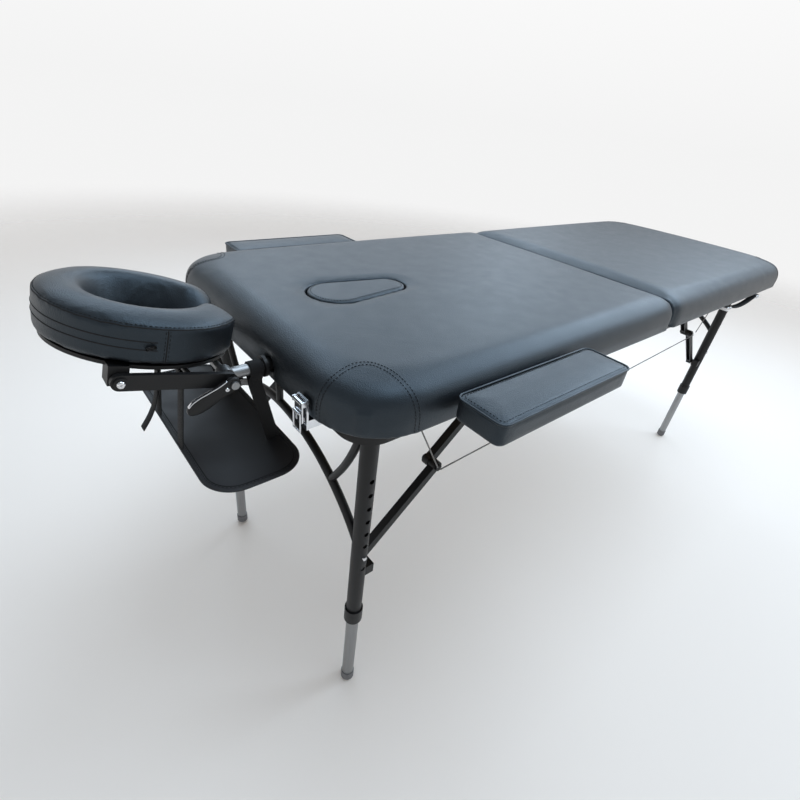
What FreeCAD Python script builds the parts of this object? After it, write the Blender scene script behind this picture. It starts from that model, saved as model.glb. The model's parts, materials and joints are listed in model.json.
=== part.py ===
import FreeCAD, Part
import os
import re
import Sketcher

# Folding massage table with face cradle, arm sling and two arm rests
# Millimetres, +Z up. Lengths along X are measured from the centre hinge: head end -, foot end +.

SIZES = {
    # table top
    "pad_length": 930, "table_width": 700, "table_height": 790, "pad_side": 78,
    "pad_corner": 112, "pad_edge": 45, "pad_bottom_edge": 8, "pad_seam_edge": 20, "seam_gap": 1,
    "pad_crown": 4,
    "face_hole_back": 195, "face_hole_wide": 55, "face_hole_narrow": 36, "face_hole_pitch": 125,
    "plug_gap": 0.6, "plug_edge": 6, "plug_lift": 1,
    # fits: close and loose gaps, and how far a cut runs past a face
    "fit_gap": 0.3, "loose_gap": 0.5, "cut_past": 5,
    # frame
    "frame_inset": 30, "frame_gap": 0.5, "rail_width": 20, "rail_corner": 50, "rail_drop": 98,
    "deck_drop": 46.5, "deck_thick": 8, "rail_seam": 5,
    "hinge_drop": 12, "hinge_inset": 150, "hinge_length": 120, "knuckle_radius": 4.5, "knuckle_gap": 0.5,
    "hinge_pin": 2.5, "pin_clearance": 0.1, "hinge_leaf": 2, "leaf_rise": 18,
    # legs
    "leg_setback": 83, "leg_inset": 72, "leg_step": 40, "pivot_rise": 21.5, "leg_radius": 15,
    "leg_wall": 2.2, "slide_gap": 0.3, "leg_top": 18, "tube_low": 230, "collar_low": 222,
    "collar_high": 256, "collar_radius": 18, "hole_first": 384, "hole_pitch": 30, "hole_radius": 4.5,
    "button_radius": 3.9, "button_stand": 3, "inner_top": 25, "tip_radius": 14, "tip_height": 26,
    "tip_edge": 5, "inner_wall": 1.8, "inner_floor": 8, "tube_cap": 12, "button_gap": 0.2,
    "button_root": 6, "hole_cut": 8,
    "pivot_bar": 11, "bracket_out": 45, "bracket_width": 30, "bracket_half": 17,
    "arch_radius": 350, "arch_drop": 208, "arch_tube": 8, "gusset_tube": 7, "brace_offset": 7,
    "gusset_radius": 430, "gusset_reach": 89, "gusset_start": 38.2, "gusset_sweep": 23,
    # folding stays
    "stay_lug": 19, "stay_drop": 335.5, "stay_run": 391, "stay_top_drop": 71, "link_width": 16,
    "link_depth": 16, "link_eye": 11, "link_gap": 2, "link_wall": 2.5, "stay_pin": 4, "bolt_head": 7,
    "crossbar_radius": 9, "crossbar_share": 0.6, "lug_half": 11, "lug_shift": 2, "lug_wide": 23,
    "clevis_width": 10, "clevis_length": 26, "link_side": 1, "bolt_height": 4,
    "cable_radius": 1.5, "cable_stand": 7.5, "cable_back": 57, "cable_off": 9,
    # face cradle
    "dowel_y": 105, "dowel_drop": 58.5, "dowel_radius": 9.5, "dowel_depth": 185, "dowel_gap": 0.2,
    "bush_wall": 1.2, "eye_wall": 3, "shaft_near": 14, "shaft_far": 6, "flange_radius": 17,
    "flange_thick": 5, "shaft_out": 62, "shaft_radius": 6,
    "arm_y": 120, "arm_thick": 8, "arm_depth": 22, "arm_run": 137, "arm_rise": 33.5, "rivet_radius": 4,
    "rivet_head": 8, "rivet_in": 10, "rivet_out": 3,
    "sling_rod_share": 0.36, "sling_rod": 4, "lever_length": 64, "lever_angle": 24,
    "lever_width": 22, "lever_thick": 9, "lever_gap": 1.5,
    "platform_rise": 14, "platform_thick": 5, "platform_inset": 16, "cushion_thick": 67,
    "platform_lug": 24, "lug_thick": 26, "lug_drop": 8, "lug_in": 15,
    "ring_radius": 86, "ring_half": 36, "lobe_radius": 110, "lobe_end": 39.5, "cushion_ahead": 75,
    "cushion_top_edge": 24, "cushion_low_edge": 9, "cushion_gap": 0.5,
    "sling_out": 51, "sling_width": 160, "sling_length": 400, "sling_drop": 200, "sling_thick": 6,
    "sling_corner": 50, "strap_thick": 2.5, "rear_strap": 22, "rear_strap_out": 17, "front_strap": 18,
    "front_strap_y": 55, "strap_gap": 0.4,
    # arm rests
    "rest_back": 330, "rest_length": 340, "rest_width": 88, "rest_gap": 8, "rest_top_drop": 20,
    "rest_height": 40, "rest_board": 15, "rest_corner": 16, "rest_edge": 10, "rest_rod": 4.5,
    "rest_rod_x": 105, "rest_rod_rise": 6.5, "rest_rod_depth": 80, "rest_rod_root": 30, "rest_crown": 3,
    "board_inset": 2, "board_edge": 4,
    # carry handles and latches
    "handle_back": 370, "handle_chord": 250, "handle_sag": 17, "handle_thick": 4, "handle_width": 18,
    "handle_stand": 8, "handle_drop": 85, "handle_end": 30, "handle_lap": 8, "handle_lip": 2,
    "handle_block": 13,
    "latch_inset": 122, "latch_half": 13, "latch_plate": 3, "latch_stand": 1.5, "latch_low_drop": 96,
    "latch_high_drop": 46, "latch_pin": 2, "latch_pin_drop": 52, "latch_pin_out": 5, "latch_knuckle": 3.6,
    "lever_blade": 2, "lever_drop": 32, "bail_wire": 1.2, "bail_drop": 30, "bail_half": 9.5,
    "bail_eye": 2.6, "bail_eye_half": 6, "bail_lap": 0.4, "hook_reach": 5, "hook_thick": 4, "hook_half": 9,
    "lip_thick": 2, "lip_height": 4, "tongue_drop": 4, "tongue_height": 14, "tongue_half": 11,
    "ear_lip": 3, "ear_thick": 2, "ear_height": 8, "lever_side": 3,
}

# Lengths worked out from the sizes
WORKED = {
    "hinge_x": "(cushion_front - latch_face - hook_reach) / 2",
    "cushion_front": "rivet_x + cushion_ahead * arm_cos - (cushion_low + cushion_low_edge) * arm_sin",
    "half_width": "table_width / 2",
    "hinge_y": "half_width - hinge_inset",
    "bracket_y": "dowel_y + bracket_out",
    "latch_y": "half_width - latch_inset",
    "head_leg_y": "half_width - leg_inset",
    "leg_x": "pad_length - leg_setback",
    "face_hole_x": "pad_length - face_hole_back",
    "handle_x": "pad_length - handle_back",
    "rest_x": "pad_length - rest_back",
    "dowel_inner": "pad_length - dowel_depth",
    "shaft_x": "pad_length + shaft_out",
    "rivet_x": "shaft_x + arm_run",
    "sling_x": "pad_length + sling_out",
    "rear_strap_x": "pad_length + rear_strap_out",
    "rest_rod_inner": "half_width - rest_rod_depth",
    "rail_bottom": "table_height - rail_drop",
    "deck_under": "table_height - deck_drop",
    "arch_apex": "table_height - arch_drop",
    "dowel_z": "table_height - dowel_drop",
    "rivet_z": "dowel_z + arm_rise",
    "sling_z": "table_height - sling_drop",
    "rest_top": "table_height - rest_top_drop",
    "rest_low": "rest_top - rest_height",
    "rest_rod_z": "rest_low + rest_rod_rise",
    "handle_top": "table_height - handle_drop",
    "latch_low": "table_height - latch_low_drop",
    "latch_high": "table_height - latch_high_drop",
    "latch_pin_z": "table_height - latch_pin_drop",
    "pad_low": "table_height - pad_side",
    "frame_half": "half_width - frame_inset",
    "frame_end": "pad_length - frame_inset",
    "rail_inner": "frame_half - rail_width",
    "deck_top": "deck_under + deck_thick",
    "hinge_z": "rail_bottom - hinge_drop",
    "pivot_z": "hinge_z + pivot_rise",
    "foot_leg_y": "head_leg_y - leg_step",
    "tube_bore": "leg_radius - leg_wall",
    "inner_radius": "tube_bore - slide_gap",
    "button_z": "hole_first + hole_pitch",
    "stay_low": "pivot_z - stay_drop",
    "stay_low_x": "leg_x - stay_lug",
    "stay_top_x": "stay_low_x - stay_run",
    "stay_top_z": "table_height - stay_top_drop",
    "cable_top_x": "leg_x - cable_back",
    "cable_top_z": "deck_under - cable_radius",
    "folded_x": "leg_x - stay_drop",
    "folded_z": "pivot_z + stay_lug",
    "stay_rise": "stay_top_z - stay_low",
    "stay_span": "sqrt(stay_run^2 + stay_rise^2)",
    "stay_closed": "sqrt((folded_x - stay_top_x)^2 + (folded_z - stay_top_z)^2)",
    "lower_length": "(stay_span - stay_closed) / 2",
    "knee_x": "stay_low_x - stay_run * lower_length / stay_span",
    "knee_z": "stay_low + stay_rise * lower_length / stay_span",
    "lower_inset": "leg_radius + loose_gap + link_width / 2",
    "upper_inset": "lower_inset + link_width + link_gap",
    "arm_span": "sqrt(arm_run^2 + arm_rise^2)",
    "arm_cos": "arm_run / arm_span",
    "arm_sin": "arm_rise / arm_span",
    "cushion_low": "platform_rise + platform_thick + cushion_gap",
    "sling_top": "sling_z + sling_thick / 2",
    "bush_radius": "dowel_radius + dowel_gap + bush_wall",
    "tongue_z": "pad_low - tongue_drop - tongue_height / 2",
    "rest_y": "half_width + rest_gap + rest_width / 2",
    "handle_y": "frame_half + handle_stand + handle_width / 2",
    "handle_radius": "(handle_chord^2 / 4 + handle_sag^2) / (2 * handle_sag)",
    "latch_face": "pad_length + latch_stand + latch_plate",
}

WORD = re.compile(r"[a-z_]\w*")
ENDS = {"head": -1, "foot": 1}
SIDES = {"near": -1, "far": 1}
LEG_Y = {"head": "head_leg_y", "foot": "foot_leg_y"}
HEIGHT_HOLES = 8
PLUS_X = (0, 1, 0, 90)
PLUS_Y = (1, 0, 0, -90)

doc = FreeCAD.newDocument("folding_massage_table")
sheet = doc.addObject("Spreadsheet::Sheet", "sizes")
for row, (alias, value) in enumerate(SIZES.items(), 1):
    sheet.set(f"A{row}", alias)
    sheet.set(f"B{row}", str(value))
    sheet.setAlias(f"B{row}", alias)
doc.recompute()


def spell(text):
    """An expression with worked lengths written out and sizes named in the sheet."""
    def one(match):
        word = match.group()
        if word in WORKED:
            return "(" + spell(WORKED[word]) + ")"
        return "sizes." + word if word in SIZES else word
    return WORD.sub(one, str(text))


def bind(thing, **values):
    for name, text in values.items():
        thing.setExpression(name, spell(text))
    return thing


def place(thing, x, y, z, turn=None):
    """Put a thing at a point, X from the centre hinge, turned about an axis by an angle."""
    point = f"vector({spell(f'hinge_x + ({x})')}; {spell(y)}; {spell(z)})"
    axis_x, axis_y, axis_z, angle = turn or (0, 0, 1, 0)
    rotation = f"rotation(vector({axis_x}; {axis_y}; {axis_z}); {spell(angle)})"
    thing.setExpression("Placement", f"placement({point}; {rotation})")
    return thing


def new(kind, name):
    return doc.addObject(kind, name)


def box(name, centre, size):
    """A block given by its middle and its three lengths."""
    x, y, z = centre
    length, width, height = size
    block = bind(new("Part::Box", name), Length=length, Width=width, Height=height)
    return place(block, f"{x} - ({length}) / 2", f"{y} - ({width}) / 2", f"{z} - ({height}) / 2")


def rod(name, radius, length, start, turn=None):
    """A round bar from a start point, along +Z unless turned."""
    bar = bind(new("Part::Cylinder", name), Radius=radius, Height=length)
    return place(bar, *start, turn)


def rod_y(name, radius, x, z, low, high):
    return rod(name, radius, f"({high}) - ({low})", (x, low, z), PLUS_Y)


def rod_xz(name, radius, start, end, y):
    """A round bar between two points of one upright plane."""
    run, rise = f"(({end[0]}) - ({start[0]}))", f"(({end[1]}) - ({start[1]}))"
    lean = (0, 1, 0, f"atan2({run}; {rise})")
    return rod(name, radius, f"sqrt({run}^2 + {rise}^2)", (start[0], y, start[1]), lean)


def fuse(name, *shapes):
    whole = new("Part::MultiFuse", name)
    whole.Shapes = list(shapes)
    whole.Refine = True
    return whole


def cut(name, base, *tools):
    rest = new("Part::Cut", name)
    rest.Base = base
    rest.Tool = tools[0] if len(tools) == 1 else gather(name + "_tools", *tools)
    return rest


def gather(name, *shapes):
    group = new("Part::Compound", name)
    group.Links = list(shapes)
    return group


NODES = {}


def node(label, *shapes):
    """A sub-part under its own label, with one solid or several."""
    whole = shapes[0] if len(shapes) == 1 else gather(label, *shapes)
    whole.Label = label
    NODES[label] = whole
    return whole


def body_sketch(name, role):
    """A new body with a sketch on one of its own origin planes."""
    body = new("PartDesign::Body", name)
    sketch = body.newObject("Sketcher::SketchObject", name + "_sketch")
    plane = next(thing for thing in body.Origin.OriginFeatures if thing.Role == role)
    sketch.AttachmentSupport = (plane, [""])
    sketch.MapMode = "FlatFace"
    return body, sketch


# the outline that each sketch starts from, before its lengths are set
START_WIDE, START_DEEP, START_BOW = 120, 80, 1
START_RADIUS = (START_WIDE ** 2 / 4 + START_BOW ** 2) / (2 * START_BOW)
CORNERS = ((-1, -1), (1, -1), (1, 1), (-1, 1))
START = [FreeCAD.Vector(x * START_WIDE / 2, y * START_DEEP / 2, 0) for x, y in CORNERS]


def plan_block(name, size, corner_radius, corner_side=0):
    """A body with a rectangular plan and a height, its upright edges rounded at one end or both."""
    length, width, height = size
    body, plan = body_sketch(name, "XY_Plane")
    for number in range(4):
        plan.addGeometry(Part.LineSegment(START[number], START[(number + 1) % 4]), False)
    for number in range(4):
        plan.addConstraint(Sketcher.Constraint("Coincident", number, 2, (number + 1) % 4, 1))
        direction = "Vertical" if number % 2 else "Horizontal"
        plan.addConstraint(Sketcher.Constraint(direction, number))
    plan.addConstraint(Sketcher.Constraint("Symmetric", 0, 1, 2, 1, -1, 1))
    wide = plan.addConstraint(Sketcher.Constraint("DistanceX", 0, 1, 0, 2, START_WIDE))
    deep = plan.addConstraint(Sketcher.Constraint("DistanceY", 1, 1, 1, 2, START_DEEP))
    plan.setExpression(f"Constraints[{wide}]", spell(length))
    plan.setExpression(f"Constraints[{deep}]", spell(width))
    pad = body.newObject("PartDesign::Pad", name + "_pad")
    pad.Profile = plan
    bind(pad, Length=height)
    doc.recompute()
    round_upright(body, corner_radius, corner_side)
    return body


def crowned_block(name, size, crown, corner_radius, corner_side=0):
    """A padded block: level underneath, straight sides and a top that bows up across its width."""
    length, width, height = size
    body, section = body_sketch(name, "YZ_Plane")
    foot_left, foot_right, top_right, top_left = START
    section.addGeometry(Part.LineSegment(foot_left, foot_right), False)
    section.addGeometry(Part.LineSegment(foot_right, top_right), False)
    bow = FreeCAD.Vector(0, top_right.y + START_BOW, 0)
    section.addGeometry(Part.Arc(top_right, bow, top_left), False)
    section.addGeometry(Part.LineSegment(top_left, foot_left), False)
    joins = ((0, 2, 1, 1), (1, 2, 2, 1), (2, 2, 3, 1), (3, 2, 0, 1))
    for first, first_end, second, second_end in joins:
        section.addConstraint(Sketcher.Constraint("Coincident", first, first_end, second, second_end))
    section.addConstraint(Sketcher.Constraint("Horizontal", 0))
    section.addConstraint(Sketcher.Constraint("Vertical", 1))
    section.addConstraint(Sketcher.Constraint("Vertical", 3))
    section.addConstraint(Sketcher.Constraint("Equal", 1, 3))
    section.addConstraint(Sketcher.Constraint("Symmetric", 0, 1, 0, 2, -1, 1))
    lengths = (
        (Sketcher.Constraint("DistanceX", 0, 1, 0, 2, START_WIDE), width),
        (Sketcher.Constraint("DistanceY", 1, 1, 1, 2, START_DEEP), f"{height} - {crown}"),
        (Sketcher.Constraint("Radius", 2, START_RADIUS), f"(({width})^2 / 4 + {crown}^2) / (2 * {crown})"),
    )
    for constraint, text in lengths:
        section.setExpression(f"Constraints[{section.addConstraint(constraint)}]", spell(text))
    pad = body.newObject("PartDesign::Pad", name + "_pad")
    pad.Profile = section
    bind(pad, Length=length)
    doc.recompute()
    round_upright(body, corner_radius, corner_side)
    return body


def round_upright(body, radius, side):
    """Round the upright edges of a block at one end (-1 or 1) or at both (0)."""
    middle = body.Tip.Shape.BoundBox.Center.x

    def upright(edge):
        offset = edge.CenterOfMass.x - middle
        return abs(edge.tangentAt(edge.FirstParameter).z) > 0.9 and offset * side >= 0

    round_edges(body, radius, upright)


def round_edges(body, radius, chosen):
    """Round the edges of a body's last feature that a test picks out."""
    last = body.Tip
    names = [f"Edge{n}" for n, edge in enumerate(last.Shape.Edges, 1) if chosen(edge)]
    edge_round = body.newObject("PartDesign::Fillet", body.Name + "_round")
    edge_round.Base = (last, names)
    bind(edge_round, Radius=radius)
    doc.recompute()


def round_level(body, radius, level, skip_side=0):
    """Round the rim of a body's top (1) or bottom (-1) face, but not where it meets one end face."""
    shape = body.Tip.Shape
    rim = max(shape.Faces, key=lambda face: level * face.CenterOfMass.z).Edges
    end = shape.BoundBox.XMax if skip_side > 0 else shape.BoundBox.XMin

    def on_rim(edge):
        here = edge.BoundBox
        in_end = max(abs(here.XMin - end), abs(here.XMax - end)) < 1e-4
        return any(edge.isSame(other) for other in rim) and not (skip_side and in_end)

    round_edges(body, radius, on_rim)


def round_end(body, radius, side):
    """Round the outline of one end face, all but its bottom edge."""
    extent = body.Tip.Shape.BoundBox
    end = extent.XMax if side > 0 else extent.XMin

    def on_end(edge):
        here = edge.BoundBox
        in_end = max(abs(here.XMin - end), abs(here.XMax - end)) < 1e-4
        return in_end and here.ZMax > extent.ZMin + 1

    round_edges(body, radius, on_end)


def egg(name, grow, low, high):
    """The face hole's outline as a solid: a wide round end, a narrow one and straight flanks."""
    wide, narrow = f"(face_hole_wide + {grow})", f"(face_hole_narrow + {grow})"
    lean = "((face_hole_wide - face_hole_narrow) / face_hole_pitch)"
    height = f"({high}) - ({low})"
    flank = f"sqrt(1 - {lean}^2)"
    big = rod(name + "_wide", wide, height, ("-face_hole_x", "0", low))
    small = rod(name + "_narrow", narrow, height, ("-face_hole_x + face_hole_pitch", "0", low))
    middle = bind(
        new("Part::Wedge", name + "_flanks"),
        Ymin=f"{wide} * {lean}", Ymax=f"face_hole_pitch + {narrow} * {lean}",
        Xmin=f"-{wide} * {flank}", Xmax=f"{wide} * {flank}",
        X2min=f"-{narrow} * {flank}", X2max=f"{narrow} * {flank}",
        Zmin="0", Zmax=height, Z2min="0", Z2max=height,
    )
    place(middle, "-face_hole_x", "0", low, (0, 0, 1, -90))
    return fuse(name, big, small, middle)


def frame_plan(name, grow, low, high, end):
    """A block with the frame's outline in plan, made larger or smaller all round."""
    side = ENDS[end]
    length = f"frame_end - rail_seam + 2 * ({grow})"
    block = plan_block(
        name, (length, f"2 * (frame_half + {grow})", f"({high}) - ({low})"),
        f"rail_corner + {grow}", side,
    )
    return place(block, f"{side} * (frame_end + rail_seam) / 2", "0", low)


def dowel_bores(name, radius, length):
    start = "-pad_length - flange_thick - cut_past"
    return [
        rod(f"{name}_{side}", radius, length, (start, f"{sign} * dowel_y", "dowel_z"), PLUS_X)
        for side, sign in SIDES.items()
    ]


def rest_bores(name, grow, reach):
    """Bores for the arm rests' rods, from outside the table inwards."""
    return [
        rod_y(f"{name}_{side}_{number}", f"rest_rod + {grow}", f"-rest_x + ({place_x})", "rest_rod_z",
              f"{sign} * half_width - ({reach})", f"{sign} * half_width + ({reach})")
        for side, sign in SIDES.items()
        for number, place_x in enumerate(("-rest_rod_x", "rest_rod_x"))
    ]


def section_pad(end):
    """One half of the upholstered top: rounded rim, hollow underneath for the frame."""
    side = ENDS[end]
    length = "pad_length - seam_gap / 2"
    block = crowned_block(f"{end}_foam", (length, "table_width", "pad_side"), "pad_crown", "pad_corner", side)
    round_level(block, "pad_edge", 1, -side)
    round_level(block, "pad_bottom_edge", -1, -side)
    round_end(block, "pad_seam_edge", -side)
    start = "seam_gap / 2" if end == "foot" else "-pad_length"
    place(block, start, "0", "pad_low")
    hollows = [frame_plan(f"{end}_hollow", "frame_gap", "pad_low - cut_past", "deck_top + frame_gap", end)]
    if end == "head":
        hollows.append(egg("pad_face_hole", "0", "pad_low", "table_height + cut_past"))
        hollows += dowel_bores("pad_bore", "bush_radius + fit_gap", "2 * frame_inset")
        hollows += rest_bores("pad_rest_bore", "loose_gap", "frame_inset + cut_past")
    node(f"{end}_pad", cut(f"{end}_pad_shape", block, *hollows))


def section_frame(end):
    """Rails round the underside and the deck board on them."""
    ring = frame_plan(f"{end}_rail_outer", "0", "rail_bottom", "deck_under", end)
    bay_length = "frame_end - rail_seam - 2 * rail_width"
    bay = plan_block(
        f"{end}_bay", (bay_length, "2 * rail_inner", "deck_under - rail_bottom + 2 * cut_past"),
        "rail_corner - rail_width", ENDS[end],
    )
    place(bay, f"{ENDS[end]} * (frame_end + rail_seam) / 2", "0", "rail_bottom - cut_past")
    cuts = [bay]
    board = frame_plan(f"{end}_board", "0", "deck_under", "deck_top", end)
    if end == "head":
        cuts += dowel_bores("rail_bore", "bush_radius + fit_gap", "frame_inset + 2 * rail_width")
        cuts += rest_bores("rail_rest_bore", "fit_gap", "frame_inset + 2 * rail_width")
        hole = egg("board_face_hole", "0", "deck_under - cut_past", "deck_top + cut_past")
        board = cut("head_board_shape", board, hole)
    node(f"{end}_frame_rails", cut(f"{end}_rails", ring, *cuts))
    node(f"{end}_deck_board", board)


def plug():
    """The loose cushion that fills the face hole."""
    core = egg("plug_core", "-plug_gap", "deck_under + plug_lift", "table_height")
    doc.recompute()
    rounded = new("Part::Fillet", "plug_form")
    rounded.Base = core
    top = core.Shape.BoundBox.ZMax
    rounded.Edges = [(number, SIZES["plug_edge"], SIZES["plug_edge"])
                     for number, edge in enumerate(core.Shape.Edges, 1) if edge.BoundBox.ZMin > top - 1e-4]
    node("face_hole_plug", rounded)


def hinge_leaves(end):
    """A pair of butt hinges under the seam: leaf plates, webs and alternate knuckles."""
    side = ENDS[end]
    step = "(hinge_length / 5)"
    turns = (0, 2, 4) if end == "head" else (1, 3)
    leaves = []
    for place_name, sign in SIDES.items():
        start = f"{sign} * hinge_y - hinge_length / 2"
        top = "rail_bottom + leaf_rise"
        low = "hinge_z + knuckle_radius + hinge_leaf"
        face = f"{side} * (rail_seam - hinge_leaf / 2)"
        name = f"{end}_leaf_{place_name}"
        pieces = [box(name + "_plate", (face, f"{sign} * hinge_y", f"({top} + {low}) / 2"),
                      ("hinge_leaf", "hinge_length", f"{top} - ({low})"))]
        for turn in turns:
            begin = f"{start} + {turn} * {step} + knuckle_gap / 2"
            finish = f"{start} + {turn + 1} * {step} - knuckle_gap / 2"
            pieces.append(rod_y(f"{name}_knuckle_{turn}", "knuckle_radius", "0", "hinge_z", begin, finish))
            web_middle = (face, f"({begin} + {finish}) / 2", f"(hinge_z + {low}) / 2")
            web_size = ("hinge_leaf", f"{step} - knuckle_gap", f"{low} - hinge_z")
            pieces.append(box(f"{name}_web_{turn}", web_middle, web_size))
        ends_of_pin = (f"{start} + loose_gap", f"{start} + hinge_length - loose_gap")
        if end == "head":
            pieces.append(rod_y(name + "_pin", "hinge_pin", "0", "hinge_z", *ends_of_pin))
            leaves.append(fuse(name, *pieces))
        else:
            bore = rod_y(name + "_bore", "hinge_pin + pin_clearance", "0", "hinge_z", *ends_of_pin)
            leaves.append(cut(name, fuse(name + "_solid", *pieces), bore))
    node(f"{end}_hinge_leaves", *leaves)


def section_brackets(end):
    """Blocks that carry the leg pivot bar, and clevises for the stays' upper pins."""
    side = ENDS[end]
    leg_x, pieces = f"{side} * leg_x", []
    bore_radius = "pivot_bar + pin_clearance"
    bore = rod_y(f"{end}_bar_bore", bore_radius, leg_x, "pivot_z", "-half_width", "half_width")
    for place_name, sign in SIDES.items():
        name = f"{end}_bracket_{place_name}"
        low = "pivot_z - bracket_half"
        block = box(name + "_block", (leg_x, f"{sign} * bracket_y", f"({low} + deck_under) / 2"),
                    ("2 * bracket_half", "bracket_width", f"deck_under - ({low})"))
        pieces.append(cut(name, block, bore))
        upper_y = f"{LEG_Y[end]} - upper_inset"
        inner = f"{upper_y} + link_width / 2 + link_side"
        outer = f"{inner} + clevis_width"
        top_x = f"{side} * stay_top_x"
        plate = box(name + "_clevis", (top_x, f"{sign} * ({inner} + clevis_width / 2)",
                                       "(stay_top_z - link_eye + deck_under) / 2"),
                    ("clevis_length", "clevis_width", "deck_under - stay_top_z + link_eye"))
        span = (f"{upper_y} - link_width / 2 - link_side", outer)
        low_y, high_y = span if sign > 0 else (f"-({span[1]})", f"-({span[0]})")
        pin = rod_y(name + "_pin", "stay_pin", top_x, "stay_top_z", low_y, high_y)
        pieces.append(fuse(name + "_stay", plate, pin))
    node(f"{end}_brackets", *pieces)


def carry_handle(end):
    """A strap hung in an arc between two metal ends on the near rail."""
    side = ENDS[end]
    middle_x, y = f"{side} * handle_x", "-handle_y"
    rise = "handle_top - handle_thick / 2 - handle_sag + handle_radius"
    half_angle = "asin(handle_chord / 2 / handle_radius)"
    arcs = []
    for name, offset in (("outer", "handle_thick / 2"), ("inner", "-handle_thick / 2")):
        arc = bind(new("Part::Cylinder", f"{end}_strap_{name}"), Radius=f"handle_radius + {offset}",
                   Height="handle_width", Angle=f"2 * ({half_angle})")
        arc_turn = f"rotation(vector(1; 0; 0); 90) * rotation(vector(0; 0; 1); -90 deg - {spell(half_angle)})"
        point = f"vector({spell(f'hinge_x + {middle_x}')}; {spell(f'{y} + handle_width / 2')}; {spell(rise)})"
        arc.setExpression("Placement", f"placement({point}; {arc_turn})")
        arcs.append(arc)
    strap = cut(f"{end}_strap_arc", *arcs)
    ends = []
    depth = "(handle_stand + handle_width + handle_lip)"
    for number, sign in enumerate((-1, 1)):
        end_x = f"{middle_x} + {sign} * (handle_chord / 2 + handle_end / 2 - handle_lap)"
        middle = (end_x, f"-frame_half - {depth} / 2", "handle_top - handle_block / 2")
        ends.append(box(f"{end}_handle_end_{number}", middle, ("handle_end", depth, "handle_block")))
    trimmed = cut(f"{end}_strap", strap, *ends)
    node(f"{end}_carry_handle", trimmed, *ends)


def latch_bases():
    """A plate, a tongue back to the rail and pin ears for each draw latch."""
    bases = []
    for place_name, sign in SIDES.items():
        y, name = f"{sign} * latch_y", f"latch_base_{place_name}"
        back = "-(pad_length + latch_stand + latch_plate / 2)"
        plate = box(name + "_plate", (back, y, "(latch_low + latch_high) / 2"),
                    ("latch_plate", "2 * latch_half", "latch_high - latch_low"))
        tongue = box(name + "_tongue", ("-(pad_length + latch_stand + frame_end) / 2", y, "tongue_z"),
                     ("pad_length + latch_stand - frame_end", "2 * tongue_half", "tongue_height"))
        pieces = [plate, tongue]
        for number, ear in enumerate((-1, 1)):
            reach = "(latch_pin_out + ear_lip)"
            ear_y = f"{y} + {ear} * (latch_half - ear_thick / 2)"
            middle = (f"-(latch_face + {reach} / 2)", ear_y, "latch_pin_z")
            pieces.append(box(f"{name}_ear_{number}", middle, (reach, "ear_thick", "ear_height")))
        pin = rod_y(name + "_pin", "latch_pin", "-(latch_face + latch_pin_out)", "latch_pin_z",
                    f"{y} - latch_half", f"{y} + latch_half")
        bases.append(fuse(name, *pieces, pin))
    node("latch_bases", *bases)


def latch_strikes():
    """Hook plates at the foot end that the bails catch when the table is shut."""
    strikes = []
    for place_name, sign in SIDES.items():
        y, name = f"{sign} * latch_y", f"latch_strike_{place_name}"
        middle = ("pad_length + latch_stand + latch_plate / 2", y, "(latch_low + pad_low) / 2")
        plate = box(name + "_plate", middle, ("latch_plate", "2 * latch_half", "pad_low - latch_low"))
        tongue = box(name + "_tongue", ("(pad_length + latch_stand + frame_end) / 2", y, "tongue_z"),
                     ("pad_length + latch_stand - frame_end", "2 * tongue_half", "tongue_height"))
        hook = box(name + "_hook", ("latch_face + hook_reach / 2", y, "pad_low - hook_thick / 2"),
                   ("hook_reach", "2 * hook_half", "hook_thick"))
        lip_middle = ("latch_face + hook_reach - lip_thick / 2", y, "pad_low + lip_height / 2")
        lip = box(name + "_lip", lip_middle, ("lip_thick", "2 * hook_half", "lip_height"))
        strikes.append(fuse(name, plate, tongue, hook, lip))
    node("latch_strikes", *strikes)


def latch_moving(place_name):
    """The hinged lever of one draw latch and the wire bail that hangs from it."""
    sign = SIDES[place_name]
    y, name = f"{sign} * latch_y", f"latch_{place_name}"
    pin_x = "-(latch_face + latch_pin_out)"
    half = "(latch_half - lever_side)"
    span = (f"{y} - {half}", f"{y} + {half}")
    knuckle = rod_y(name + "_knuckle", "latch_knuckle", pin_x, "latch_pin_z", *span)
    blade = box(name + "_blade", (pin_x, y, "latch_pin_z - lever_drop / 2"),
                ("lever_blade", f"2 * {half}", "lever_drop"))
    eye_x, eye_z = f"{pin_x} - lever_blade / 2 - bail_eye + bail_lap", "latch_pin_z - lever_drop / 2"
    eye = rod_y(name + "_eye", "bail_eye", eye_x, eye_z, f"{y} - bail_eye_half", f"{y} + bail_eye_half")
    through = (f"{y} - latch_half", f"{y} + latch_half")
    bore = rod_y(name + "_bore", "latch_pin + pin_clearance", pin_x, "latch_pin_z", *through)
    eye_bore = rod_y(name + "_eye_bore", "bail_wire + pin_clearance", eye_x, eye_z, *through)
    lever = cut(name + "_lever_shape", fuse(name + "_lever_solid", knuckle, blade, eye), bore, eye_bore)
    node(f"latch_lever_{place_name}", lever)
    low = f"{eye_z} - bail_drop"
    wires = [rod_y(f"{name}_wire_{number}", "bail_wire", eye_x, z, f"{y} - bail_half", f"{y} + bail_half")
             for number, z in enumerate((eye_z, low))]
    for number, ear in enumerate((-1, 1)):
        ear_y = f"{y} + {ear} * bail_half"
        wires.append(rod(f"{name}_wire_side_{number}", "bail_wire", "bail_drop", (eye_x, ear_y, low)))
        for corner, z in enumerate((eye_z, low)):
            ball = bind(new("Part::Sphere", f"{name}_bend_{number}_{corner}"), Radius="bail_wire")
            wires.append(place(ball, eye_x, ear_y, z))
    node(f"latch_bail_{place_name}", fuse(name + "_bail", *wires))


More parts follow.
